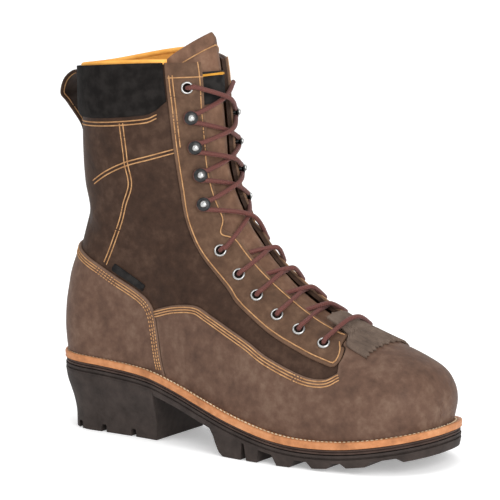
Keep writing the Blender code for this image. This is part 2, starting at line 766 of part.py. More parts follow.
def overlay(name, points, near, far, finish, thick=None):
    """Raised piece cut from a larger form of the upper by its outline."""
    form = thicken(upper_surface(), LAY_GAP, LAY_GAP + (thick or OVERLAY))
    item = place(name, form, finish)
    return boolean(item, side_cutter(f"{name}_cutter", points, near, far), "INTERSECT")


def build_overlays():
    """Counter, vamp, eyestays, cuff, backstay and side tab."""
    span = BALL_WIDTH
    low, high, front = -COLLAR_HEIGHT / 5, COLLAR_HEIGHT * 1.2, LENGTH * 1.1
    counter = shares(COUNTER_EDGE)
    overlay("heel_counter", [np.array([-LENGTH / 10, low])] + [np.array([-LENGTH / 10, counter[0][1]])]
            + counter + [np.array([counter[-1][0], low])], -span, span, "raised_leather")
    stay = shares(STAY_EDGE)
    behind = shifted(counter, 2 * GAP)
    before = shifted(stay[-6:], -2 * GAP)
    vamp = behind[:5:-1] + shares(VAMP_EDGE) + before[2:]
    top = before[-1]
    overlay("vamp", vamp + [np.array([top[0], high]), np.array([front, high]), np.array([front, low]),
                            np.array([behind[-1][0], low])], -span, span, "raised_leather")
    for side, label in ((LATERAL, "lateral"), (MEDIAL, "medial")):
        near, far = sorted((side * GAP, side * span))
        overlay(f"eyestay_{label}", stay + [np.array([stay[-1][0], high]), np.array([stay[0][0], high])],
                near, far, "raised_leather")
    cuff = shares(CUFF_EDGE)
    rear = shifted(stay[:3], -2 * GAP)
    rise = 2 * HOOK_BASE / (rear[0][1] - rear[1][1])
    corner = [rear[1] + (rear[0] - rear[1]) * rise, rear[0]]
    overlay("collar_cuff", cuff + corner + [np.array([corner[-1][0], high]),
                                            np.array([cuff[0][0], high])],
            -span, span, "suede", CUFF_THICK)
    foot = counter[1][1] + OVERLAY
    head = cuff[0][1] - 2 * GAP
    strip = [np.array([-LENGTH / 10, foot]), np.array([LENGTH / 5, foot]),
             np.array([LENGTH / 5, head]), np.array([-LENGTH / 10, head])]
    overlay("backstay", strip, -BACKSTAY_HALF, BACKSTAY_HALF, "raised_leather")
    overlay("side_tab", shares(TAB_CORNERS), -span, 0.0, "tab", OVERLAY / 2)


def build_upper():
    """Vamp, quarters and shaft as one hollow leather form."""
    return place("upper", thicken(upper_surface(), -WALL, 0.0), "leather")


def ridge_at_along(share):
    """Arc length at which the ridge passes a share of the length, past the toe box."""
    past = RIDGE_LINE[:, 1] > TOE_HEIGHT
    first = np.nonzero(past)[0][0]
    along = RIDGE_LINE[first:, 0][::-1]
    return float(np.interp(share * LENGTH, along, RIDGE_ARC[first:][::-1]))


def crosswise(arc, reach, side):
    """Point on the upper's outer form, a distance round from the ridge."""
    whole = collar_front_place()
    top = ridge_point(arc)
    if arc <= whole:
        tops, bases, _, arcs = FAN_LINES
        base = np.array([np.interp(arc, arcs, bases[:, k]) for k in (0, 1)])
    else:
        base = np.array([float(back_inset(top[1])), top[1]])
    fine = np.linspace(0, 1, 500) ** 1.6
    line = top + fine[:, None] * (base - top)
    wide = half_width(line[:, 0], line[:, 1], side)
    wide[0] = 0.0
    points = np.column_stack([line[:, 0], centre_line(line[:, 0]) + side * wide, line[:, 1]])
    gone = np.concatenate([[0], np.cumsum(np.linalg.norm(np.diff(points, axis=0), axis=1))])
    return np.array([np.interp(reach, gone, points[:, k]) for k in range(3)])


def draped(rows, columns, place_of, low, high):
    """Closed solid over the ridge: place_of gives the arc length and reach of
    each row and column, low and high the offsets of each row."""
    sheet = bmesh.new()
    grid = []
    for i in range(rows + 1):
        line = []
        for j in range(-columns, columns + 1):
            arc, reach = place_of(i / rows, j / columns)
            point = crosswise(arc, abs(reach), MEDIAL if reach > 0 else LATERAL)
            line.append(sheet.verts.new((point[0] - HEEL_SETBACK, point[1], point[2])))
        grid.append(line)
    for first, second in zip(grid[:-1], grid[1:]):
        for j in range(2 * columns):
            sheet.faces.new((first[j], first[j + 1], second[j + 1], second[j]))
    face_outward(sheet)
    sheet.normal_update()
    sheet.verts.index_update()
    solid = bmesh.new()
    inner = []
    outer = []
    for i, line in enumerate(grid):
        for vert in line:
            inner.append(solid.verts.new(vert.co + vert.normal * low(i / rows)))
            outer.append(solid.verts.new(vert.co + vert.normal * high(i / rows)))
    for face in sheet.faces:
        index = [vert.index for vert in face.verts]
        solid.faces.new([outer[i] for i in index])
        solid.faces.new([inner[i] for i in reversed(index)])
    for edge in sheet.edges:
        if edge.is_boundary:
            a, b = (vert.index for vert in edge.verts)
            solid.faces.new((inner[a], inner[b], outer[b], outer[a]))
    sheet.free()
    return solid


def tongue_place(t, w):
    """Arc length and reach of a place on the tongue."""
    whole = collar_front_place()
    foot = THROAT_START * whole - TONGUE_TUCK
    reach = TONGUE_ROOT + (TONGUE_HALF - TONGUE_ROOT) * t
    length = whole + TONGUE_RISE - foot - TONGUE_DROP * abs(w) ** 1.4
    return foot + t * length, w * reach


def build_tongue():
    """Gusseted tongue, its peak above the collar, and its plain label."""
    low = -(WALL + TONGUE_CLEAR + TONGUE_THICK)
    high = -(WALL + TONGUE_CLEAR)
    solid = draped(10, 4, tongue_place, lambda t: low, lambda t: high)
    place("tongue", solid, "leather")
    whole = collar_front_place()

    def label_place(t, w):
        return whole - LABEL_DROP - LABEL_TALL * (1 - t), w * LABEL_HALF

    solid = draped(2, 2, label_place, lambda t: high + LAY_GAP,
                   lambda t: high + LAY_GAP + LABEL_THICK)
    place("tongue_label", solid, "tab")


def kiltie_place(t, w):
    """Arc length and reach of a place on the kiltie, its fringe first."""
    fringe = ridge_at_along(KILTIE["fringe"])
    root = ridge_at_along(KILTIE["root"])
    tooth = KILTIE_TOOTH if round(abs(w) * KILTIE_COLUMNS) % 2 else 0.0
    arc = fringe + (root - fringe) * t + tooth * (1 - t)
    wide = smooth(KILTIE_FLARE, "half", "t", t) * BALL_WIDTH
    return arc, w * float(wide)


def build_kiltie():
    """Fringed false tongue over the vamp, its root on the tongue."""
    def low(t):
        return float(smooth(KILTIE_FLARE, "rise", "t", t)) * KILTIE_RISE

    solid = draped(6, KILTIE_COLUMNS, kiltie_place, low, lambda t: low(t) + KILTIE_THICK)
    place("kiltie", solid, "raised_leather")


def build_pull_loop():
    """Strap bowed out behind the collar, its ends on the back of the shaft."""
    top = COLLAR_HEIGHT - 2 * STRAP_THICK
    foot = top - LOOP_TALL
    back = float(back_inset(top)) - LAY_GAP - CUFF_THICK - 2 * GAP
    low_back = float(np.min(back_inset(np.linspace(foot, top, 9)))) - LAY_GAP - OVERLAY - 6 * GAP
    path = [(back, top - LOOP_OUT * 0.35), (back - STRAP_THICK * 0.2, top - LOOP_OUT * 0.12),
            (back - LOOP_OUT * 0.35, top + STRAP_THICK * 0.6), (back - LOOP_OUT * 0.82, top - LOOP_OUT * 0.25),
            (back - LOOP_OUT, top - LOOP_OUT * 0.8), (back - LOOP_OUT * 0.72, top - LOOP_TALL * 0.55),
            (low_back - LOOP_OUT * 0.22, foot + LOOP_TALL * 0.17),
            (low_back - LOOP_OUT * 0.06, foot + LOOP_TALL * 0.05), (low_back - 2 * GAP, foot)]
    path = smooth_path(np.array(path), 17)
    ahead = np.gradient(path, axis=0)
    ahead /= np.linalg.norm(ahead, axis=1)[:, None]
    away = np.column_stack([-ahead[:, 1], ahead[:, 0]])
    near = path
    far = path - away * STRAP_THICK
    if far[0, 0] > near[0, 0]:
        far = path + away * STRAP_THICK
    work = bmesh.new()
    rings = []
    for (x0, z0), (x1, z1) in zip(near, far):
        corners = [(x0, -LOOP_HALF, z0), (x0, LOOP_HALF, z0), (x1, LOOP_HALF, z1), (x1, -LOOP_HALF, z1)]
        rings.append([work.verts.new((x - HEEL_SETBACK, y, z)) for x, y, z in corners])
    for first, second in zip(rings[:-1], rings[1:]):
        close_sides(work, first, second)
    work.faces.new(rings[0])
    work.faces.new(rings[-1])
    place("pull_loop", work, "raised_leather")


def surface_frame(along, up, side):
    """Point of the outer form in side view, with its outward direction."""
    step = GAP

    def point(s, z):
        wide = float(half_width(s, z, side))
        return np.array([s - HEEL_SETBACK, float(centre_line(s)) + side * wide, z])

    middle = point(along, up)
    ahead = point(along + step, up) - point(along - step, up)
    above = point(along, up + step) - point(along, up - step)
    out = np.cross(ahead, above) * -side
    out /= np.linalg.norm(out)
    ahead /= np.linalg.norm(ahead)
    return middle, ahead, np.cross(out, ahead), out


def turned(name, profile, along, up, side, finish, lift, sides):
    """Solid of revolution set on the eyestay: rows of radius and height."""
    middle, ahead, above, out = surface_frame(along * LENGTH, up * COLLAR_HEIGHT, side)
    base = middle + out * (LAY_GAP + OVERLAY + lift)
    work = bmesh.new()
    rings = []
    for radius, height in profile:
        if radius == 0:
            rings.append([work.verts.new(base + out * height)])
            continue
        ring = []
        for k in range(sides):
            turn = 2 * math.pi * k / sides
            way = ahead * math.cos(turn) + above * math.sin(turn)
            ring.append(work.verts.new(base + out * height + way * radius))
        rings.append(ring)
    closed = profile[0][0] > 0 and profile[-1][0] > 0
    pairs = list(zip(rings[:-1], rings[1:]))
    if closed:
        pairs.append((rings[-1], rings[0]))
    for first, second in pairs:
        if len(first) == 1 or len(second) == 1:
            point, ring = (first[0], second) if len(first) == 1 else (second[0], first)
            for k in range(sides):
                work.faces.new((ring[k], ring[(k + 1) % sides], point))
        else:
            close_sides(work, first, second)
    return place(name, work, finish)


def build_hardware():
    """Eyelets and speed hooks on both eyestays."""
    ring = [(EYELET_RADIUS, 0.0), (EYELET_RADIUS * 0.9, EYELET_THICK),
            (EYELET_BORE, EYELET_THICK), (EYELET_BORE, 0.0)]
    hook = [(0.0, 0.0), (HOOK_BASE, 0.0), (HOOK_BASE * 0.92, HOOK_TALL * 0.2),
            (HOOK_BALL * 0.7, HOOK_TALL * 0.36), (HOOK_BALL, HOOK_TALL * 0.68),
            (HOOK_BALL * 0.7, HOOK_TALL * 0.93), (0.0, HOOK_TALL)]
    for side, label in ((LATERAL, "lateral"), (MEDIAL, "medial")):
        for i, (along, up) in enumerate(zip(EYELETS["along"], EYELETS["up"])):
            turned(f"eyelet_{label}_{i + 1}", ring, along, up, side, "steel", SEAT_LIFT, 8)
        for i, (along, up) in enumerate(zip(HOOKS["along"], HOOKS["up"])):
            turned(f"hook_{label}_{i + 1}", hook, along, up, side, "black_metal", SEAT_LIFT, 8)


def lace_stations():
    """Side-view places that the laces join, from the top down."""
    rows = list(zip(EYELETS["along"], EYELETS["up"]))
    return [rows[0]] + list(zip(HOOKS["along"], HOOKS["up"])) + rows[1:]


def lace_end(station, side, towards):
    """Where a lace leaves an eyelet or hook, on its throat side, shifted a
    little towards another station."""
    along, up = station
    middle, ahead, above, out = surface_frame(along * LENGTH, up * COLLAR_HEIGHT, side)
    run = np.array([(towards[0] - along) * LENGTH, 0.0, (towards[1] - up) * COLLAR_HEIGHT])
    run *= LACE_SPREAD / np.linalg.norm(run)
    inward = np.array([0.0, -side, 0.0])
    inward -= out * np.dot(inward, out)
    inward /= np.linalg.norm(inward)
    if up < HOOKS["up"][-1]:
        return middle + run + out * LACE_RISE + inward * (EYELET_RADIUS + 2 * LACE_RADIUS)
    return middle + run + out * HOOK_RISE + inward * (EYELET_RADIUS + LACE_RADIUS)


def lace_path(start, end, lift):
    """Points of one strand, bowed over the ridge by a lift."""
    start, end = np.array(start), np.array(end)
    middle = (start + end) / 2
    arc_share = np.argmin(np.hypot(RIDGE_LINE[:, 0] - HEEL_SETBACK - middle[0],
                                   RIDGE_LINE[:, 1] - middle[2]))
    crest = RIDGE_LINE[arc_share, :2]
    ahead = RIDGE_LINE[min(arc_share + 5, len(RIDGE_LINE) - 1), :2] - RIDGE_LINE[arc_share - 5, :2]
    away = np.array([-ahead[1], ahead[0]]) / np.linalg.norm(ahead)
    if away[1] < 0 and away[0] < 0:
        away = -away
    if away[0] < 0:
        away = -away
    top = np.array([crest[0] - HEEL_SETBACK + away[0] * lift, middle[1],
                    crest[1] + away[1] * lift])
    points = []
    for t in np.linspace(0, 1, 6):
        rise = 1 - (2 * t - 1) ** 2
        points.append(start + (end - start) * t + (top - middle) * rise)
    return points


def tube(name, points, finish):
    """Round closed strand through points."""
    sides = 6
    work = bmesh.new()
    rings = []
    points = np.array(points)
    ahead = np.gradient(points, axis=0)
    for point, way in zip(points, ahead):
        way /= np.linalg.norm(way)
        across = np.cross(way, [0.0, 0.0, 1.0])
        across /= np.linalg.norm(across)
        above = np.cross(across, way)
        ring = []
        for k in range(sides):
            turn = 2 * math.pi * (k + 0.5) / sides
            ring.append(work.verts.new(point + LACE_RADIUS * (across * math.cos(turn) + above * math.sin(turn))))
        rings.append(ring)
    for first, second in zip(rings[:-1], rings[1:]):
        close_sides(work, first, second)
    work.faces.new(rings[0])
    work.faces.new(rings[-1])
    return place(name, work, finish)


def build_laces():
    """One joined solid for each crossing, and the lowest bar."""
    stations = lace_stations()
    for i, (above, below) in enumerate(zip(stations[:-1], stations[1:])):
        lift = LACE_CREST if below is not stations[-1] else KILTIE_CREST
        first = lace_path(lace_end(below, LATERAL, above), lace_end(above, MEDIAL, below), lift)
        second = lace_path(lace_end(below, MEDIAL, above), lace_end(above, LATERAL, below), lift)
        item = tube(f"lace_crossing_{i + 1}", first, "lace")
        boolean(item, tube(f"lace_cutter_{i + 1}", second, "lace"), "UNION")
    last = stations[-1]
    past = (2 * last[0] - stations[-2][0], 2 * last[1] - stations[-2][1])
    ends = [lace_end(last, side, past) for side in (LATERAL, MEDIAL)]
    tube("lace_bar", lace_path(ends[0], ends[1], KILTIE_CREST), "lace")


FINISHES = {
    "leather": (0.085, 0.045, 0.028, 0.60, 0.0),
    "raised_leather": (0.11, 0.058, 0.036, 0.60, 0.0),
    "suede": (0.010, 0.009, 0.008, 0.90, 0.0),
    "lining": (0.75, 0.36, 0.07, 0.85, 0.0),
    "welt_leather": (0.50, 0.19, 0.075, 0.55, 0.0),
    "midsole": (0.035, 0.024, 0.020, 0.70, 0.0),
    "rubber": (0.055, 0.040, 0.037, 0.72, 0.0),
    "steel": (0.60, 0.60, 0.60, 0.30, 1.0),
    "black_metal": (0.02, 0.02, 0.02, 0.40, 0.5),
    "lace": (0.22, 0.06, 0.045, 0.80, 0.0),
    "tab": (0.012, 0.012, 0.012, 0.75, 0.0),
}

RIDGE_LINE = ridge_curve(600)
RIDGE_ARC = np.concatenate([[0], np.cumsum(np.linalg.norm(np.diff(RIDGE_LINE[:, :2], axis=0), axis=1))])


FAN_LINES = fan()


def clear_scene():
    """Start from an empty scene."""
    for item in list(bpy.data.objects):
        bpy.data.objects.remove(item, do_unlink=True)


def main():
    """Build each piece, sole first."""
    clear_scene()
    build_outsole()
    build_midsole()
    build_welt()
    build_insole()
    build_upper()
    build_overlays()
    build_tongue()
    build_kiltie()
    build_pull_loop()
    build_hardware()
    build_laces()


main()
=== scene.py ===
import logging
import math
from dataclasses import astuple, dataclass, field
from enum import Enum
from typing import Callable, Sequence

import bmesh
import bpy
import numpy as np
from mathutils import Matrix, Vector


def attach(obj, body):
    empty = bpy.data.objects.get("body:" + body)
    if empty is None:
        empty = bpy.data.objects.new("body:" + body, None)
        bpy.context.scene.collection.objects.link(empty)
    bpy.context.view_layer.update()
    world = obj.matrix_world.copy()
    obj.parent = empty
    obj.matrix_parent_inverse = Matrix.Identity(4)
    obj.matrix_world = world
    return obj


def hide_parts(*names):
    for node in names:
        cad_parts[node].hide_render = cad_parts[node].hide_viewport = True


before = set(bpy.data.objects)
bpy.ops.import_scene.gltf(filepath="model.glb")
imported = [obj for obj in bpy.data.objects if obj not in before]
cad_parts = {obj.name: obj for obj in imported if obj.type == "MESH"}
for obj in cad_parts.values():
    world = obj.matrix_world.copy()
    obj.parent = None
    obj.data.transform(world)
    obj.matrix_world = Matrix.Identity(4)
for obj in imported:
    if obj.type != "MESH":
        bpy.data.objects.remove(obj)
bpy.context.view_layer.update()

LOG = logging.getLogger("boot")
Rows = Sequence[tuple[float, ...]]
Colour = tuple[float, float, float]


class Side(Enum):
    """The two sides of the boot, as the sign of Y."""

    LATERAL = -1.0
    MEDIAL = 1.0


class Slot(Enum):
    """Material slots of the record."""

    LEATHER = "leather"
    RAISED = "raised_leather"
    SUEDE = "suede"
    LINING = "lining"
    WELT = "welt_leather"
    MIDSOLE = "midsole"
    RUBBER = "rubber"
    STEEL = "steel"
    BLACK_METAL = "black_metal"
    LACE = "lace"
    TAB = "tab"


@dataclass(frozen=True)
class Sizes:
    """Driving dimensions of the boot, in metres."""

    length: float = 0.316
    ball: float = 0.100
    setback: float = 0.052
    heel_length: float = 0.097
    heel_rise: float = 0.0525
    forefoot_rise: float = 0.0132
    spring_start: float = 0.68
    toe_spring: float = 0.0130
    welt: float = 0.0048
    ledge: float = 0.0072
    welt_inner: float = 0.007
    midsole: float = 0.0037
    midsole_inset: float = 0.0010
    sole_body: float = 0.0055
    shank: float = 0.0075
    lug_reach: float = 0.024
    channel: float = 0.005
    notch_deep: float = 0.0055
    notch_wide: float = 0.0045
    heel_taper: float = 0.0085
    toe_height: float = 0.076
    collar: float = 0.266
    collar_lift: float = 0.006
    shaft_width: float = 0.095
    heel_width: float = 0.067
    wall: float = 0.0026
    overlay: float = 0.0016
    cuff: float = 0.003
    lay: float = 0.0004
    gap: float = 0.0003
    seat_gap: float = 0.0005
    throat_half: float = 0.0160
    throat_round: float = 0.012
    throat_start: float = 0.287
    flex_place: float = 0.589
    flex_deep: float = 0.0065
    flex_half: float = 0.0045
    roll: float = 0.0021
    edge_round: float = 0.0011
    backstay_half: float = 0.009
    seam_in: float = 0.0026
    facing: float = 0.024
    roll_clear: float = 0.0235
    tongue_thick: float = 0.003
    tongue_clear: float = 0.0014
    tongue_half: float = 0.050
    tongue_root: float = 0.026
    tongue_drop: float = 0.024
    tongue_tuck: float = 0.012
    tongue_rise: float = 0.022
    lateral_rim: float = 0.002
    medial_rim: float = 0.007
    rim_fall: float = 0.12
    lace: float = 0.0017


S = Sizes()
TOP = S.lay + S.overlay

# Plan: share of length, lateral and medial half width, centre's shift
PLAN = np.array([
    (0.00, 0.335, 0.335, 0.000), (0.20, 0.335, 0.330, 0.000), (0.30, 0.350, 0.310, 0.000),
    (0.40, 0.390, 0.300, 0.005), (0.50, 0.445, 0.350, 0.015), (0.60, 0.490, 0.425, 0.030),
    (0.68, 0.510, 0.470, 0.045), (0.76, 0.508, 0.490, 0.055), (0.85, 0.480, 0.475, 0.062),
    (0.93, 0.445, 0.445, 0.068), (1.00, 0.410, 0.410, 0.070)])

# Seat: share of length, share of the heel's extra rise
SEAT = np.array([
    (0.00, 1.00), (0.10, 0.98), (0.20, 0.935), (0.28, 0.875), (0.36, 0.725), (0.45, 0.505),
    (0.55, 0.272), (0.65, 0.10), (0.74, 0.03), (0.84, 0.0), (0.92, 0.0), (1.00, 0.0)])

# Ridge: share of length, of toe height, of the rise, rounding, squareness
RIDGE = np.array([
    (0.970, 0.43, 0.000, 0.47, 2.40), (0.977, 0.57, 0.000, 0.47, 2.40),
    (0.969, 0.73, 0.000, 0.47, 2.40), (0.944, 0.87, 0.000, 0.48, 2.40),
    (0.896, 0.97, 0.000, 0.50, 2.40), (0.826, 1.00, 0.030, 0.52, 2.30),
    (0.753, 1.00, 0.075, 0.56, 2.20), (0.685, 1.00, 0.130, 0.62, 2.10),
    (0.618, 1.00, 0.210, 0.68, 2.05), (0.553, 1.00, 0.310, 0.68, 2.00),
    (0.500, 1.00, 0.420, 0.69, 1.95), (0.460, 1.00, 0.530, 0.70, 1.80),
    (0.439, 1.00, 0.640, 0.71, 1.68), (0.431, 1.00, 0.760, 0.72, 1.62),
    (0.424, 1.00, 0.870, 0.72, 1.60), (0.418, 1.00, 1.000, 0.72, 1.60),
    (0.395, 1.00, 1.200, 0.70, 1.60)])

# Back line: share of collar height, inset, rounding
BACK = np.array([
    (0.18, 0.017, 0.50), (0.24, 0.010, 0.50), (0.28, 0.008, 0.50), (0.34, 0.009, 0.50),
    (0.41, 0.018, 0.50), (0.50, 0.044, 0.52), (0.57, 0.065, 0.56), (0.62, 0.075, 0.62),
    (0.69, 0.066, 0.70), (0.80, 0.060, 0.78), (0.88, 0.060, 0.82), (1.00, 0.061, 0.85),
    (1.15, 0.066, 0.85)])

# Shaft: share of collar height, half width, share of shaft over foot
SHAFT = np.array([
    (0.40, 0.365, 0.00), (0.50, 0.375, 0.55), (0.58, 0.395, 0.88), (0.66, 0.430, 1.00),
    (0.76, 0.470, 1.00), (0.88, 0.495, 1.00), (1.00, 0.500, 1.00), (1.15, 0.490, 1.00)])

# Pairing of base line with ridge
FAN = np.array([
    (0.00, 0.00), (0.05, 0.10), (0.10, 0.20), (0.17, 0.33), (0.25, 0.44), (0.36, 0.53),
    (0.47, 0.60), (0.56, 0.66), (0.62, 0.70), (0.69, 0.75), (0.77, 0.82), (0.87, 0.90),
    (1.00, 1.00)])

# Lugs: centre, half width at the floor and at the root, shares of length
LUGS = ((0.545, 0.0222, 0.0269), (0.597, 0.0142, 0.0190), (0.680, 0.0165, 0.0285),
        (0.769, 0.0174, 0.0300), (0.853, 0.0206, 0.0332), (0.985, 0.0411, 0.0522))
ARCH = np.array([(0.00, 1.00), (0.480, 1.00), (0.497, 0.45), (0.508, 0.12), (0.520, 0.0), (1.0, 0.0)])
HEEL = ((0.00, 1.00), (0.22, 0.98), (0.45, 0.80), (0.65, 0.50), (0.83, 0.20), (1.00, 0.05))
NOTCHES = (0.235, 0.475, 0.755)

# Panel edges in side view: shares of length and collar height
COUNTER_EDGE = ((-0.030, 0.560), (0.020, 0.537), (0.077, 0.506), (0.136, 0.476), (0.194, 0.441),
                (0.273, 0.394), (0.302, 0.355), (0.314, 0.301), (0.326, 0.226), (0.341, 0.160),
                (0.368, -0.020))
VAMP_EDGE = ((0.304, 0.362), (0.364, 0.381), (0.423, 0.386), (0.463, 0.367), (0.520, 0.334),
             (0.571, 0.305), (0.623, 0.272), (0.710, 0.236), (0.760, 0.232), (0.787, 0.247))
STAY_REAR = ((0.320, 1.090), (0.338, 0.894), (0.350, 0.777), (0.363, 0.687), (0.381, 0.598),
             (0.420, 0.518), (0.496, 0.433), (0.527, 0.398), (0.611, 0.331), (0.698, 0.286),
             (0.763, 0.262))
STAY_NOSE = ((0.779, 0.268), (0.782, 0.284), (0.777, 0.302), (0.766, 0.318), (0.762, 0.450))
CUFF_EDGE = ((-0.050, 0.866), (0.108, 0.868), (0.209, 0.875), (0.288, 0.885), (0.312, 0.897))
TAB_CORNERS = ((0.183, 0.456), (0.270, 0.404), (0.276, 0.424), (0.190, 0.477))
SEAM_UPRIGHT = ((0.237, 0.860), (0.243, 0.790), (0.245, 0.753), (0.251, 0.696), (0.232, 0.640),
                (0.210, 0.580), (0.164, 0.470))
SEAM_SLANT = ((0.349, 0.790), (0.300, 0.772), (0.245, 0.753), (0.190, 0.725), (0.143, 0.695))
EYELETS = ((0.369, 0.958), (0.461, 0.530), (0.511, 0.470), (0.561, 0.420), (0.615, 0.375),
           (0.669, 0.341), (0.732, 0.311))
HOOKS = ((0.376, 0.878), (0.385, 0.800), (0.397, 0.725), (0.411, 0.648))

# Soft creases: start, end in shares, half width and depth in metres, side
CREASES = (
    ((0.395, 0.560), (0.285, 0.520), 0.0050, 0.0011, Side.LATERAL),
    ((0.372, 0.640), (0.262, 0.600), 0.0060, 0.0009, Side.LATERAL),
    ((0.330, 0.455), (0.415, 0.475), 0.0045, 0.0007, Side.LATERAL),
    ((0.090, 0.600), (0.150, 0.565), 0.0060, 0.0009, Side.LATERAL),
    ((0.640, 0.215), (0.720, 0.155), 0.0065, 0.0006, Side.LATERAL),
    ((0.395, 0.560), (0.285, 0.520), 0.0050, 0.0011, Side.MEDIAL),
    ((0.372, 0.640), (0.262, 0.600), 0.0060, 0.0009, Side.MEDIAL),
    ((0.090, 0.600), (0.150, 0.565), 0.0060, 0.0009, Side.MEDIAL),
    ((0.640, 0.215), (0.720, 0.155), 0.0065, 0.0006, Side.MEDIAL),
)


def smooth(table: np.ndarray, column: int, values: np.ndarray) -> np.ndarray:
    """Read a column of a table with a smooth, unkinked curve.

    Args:
        table: rows whose first column is the key.
        column: the column to read.
        values: keys to read at.

    Returns:
        The column's values at those keys.
    """
    xs, ys = table[:, 0], table[:, column]
    step = np.diff(xs)
    slope = np.diff(ys) / step
    tangent = np.zeros_like(ys)
    tangent[0], tangent[-1] = slope[0], slope[-1]
    for i in range(1, len(xs) - 1):
        if slope[i - 1] * slope[i] > 0:
            first = 2 * step[i] + step[i - 1]
            second = step[i] + 2 * step[i - 1]
            tangent[i] = (first + second) / (first / slope[i - 1] + second / slope[i])
    x = np.clip(np.asarray(values, float), xs[0], xs[-1])
    i = np.clip(np.searchsorted(xs, x) - 1, 0, len(xs) - 2)
    t = (x - xs[i]) / step[i]
    return ((1 + 2 * t) * (1 - t) ** 2 * ys[i] + t * (1 - t) ** 2 * step[i] * tangent[i]
            + t * t * (3 - 2 * t) * ys[i + 1] + t * t * (t - 1) * step[i] * tangent[i + 1])


def curve_through(rows: Rows, steps: int = 12) -> np.ndarray:
    """Catmull-Rom curve through rows of numbers.

    Args:
        rows: the points.
        steps: points made for each stretch.

    Returns:
        Points of the curve.
    """
    rows = np.asarray(rows, float)
    ends = np.vstack([2 * rows[0] - rows[1], rows, 2 * rows[-1] - rows[-2]])
    fine = []
    for i in range(len(rows) - 1):
        p0, p1, p2, p3 = ends[i:i + 4]
        for t in np.linspace(0, 1, steps, endpoint=False):
            fine.append(0.5 * (2 * p1 + (p2 - p0) * t + (2 * p0 - 5 * p1 + 4 * p2 - p3) * t ** 2
                               + (3 * p1 - p0 - 3 * p2 + p3) * t ** 3))
    fine.append(rows[-1])
    return np.array(fine)


def even_path(points: np.ndarray, pitch: float) -> np.ndarray:
    """Resample a path to even steps.

    Args:
        points: the path.
        pitch: wanted distance between points.

    Returns:
        Evenly spaced points.
    """
    gone = np.concatenate([[0], np.cumsum(np.linalg.norm(np.diff(points, axis=0), axis=1))])
    count = max(2, int(round(gone[-1] / pitch)) + 1)
    places = np.linspace(0, gone[-1], count)
    return np.column_stack([np.interp(places, gone, points[:, k]) for k in range(points.shape[1])])


def round_off(share: np.ndarray, square: float | np.ndarray) -> np.ndarray:
    """Superellipse quarter, 0 at share 0 and 1 from share 1 on."""
    return (1 - (1 - np.clip(share, 0, 1)) ** square) ** (1 / square)


def side_points(rows: Rows) -> np.ndarray:
    """Side-view points from rows of shares."""
    return np.asarray(rows, float) * (S.length, S.collar)


def set_off(points: np.ndarray, distance: float) -> np.ndarray:
    """Side-view line moved to its left.

    Args:
        points: the line.
        distance: how far.

    Returns:
        The moved line.
    """
    ahead = np.gradient(points, axis=0)
    ahead /= np.linalg.norm(ahead, axis=1)[:, None]
    return points + distance * np.column_stack([-ahead[:, 1], ahead[:, 0]])


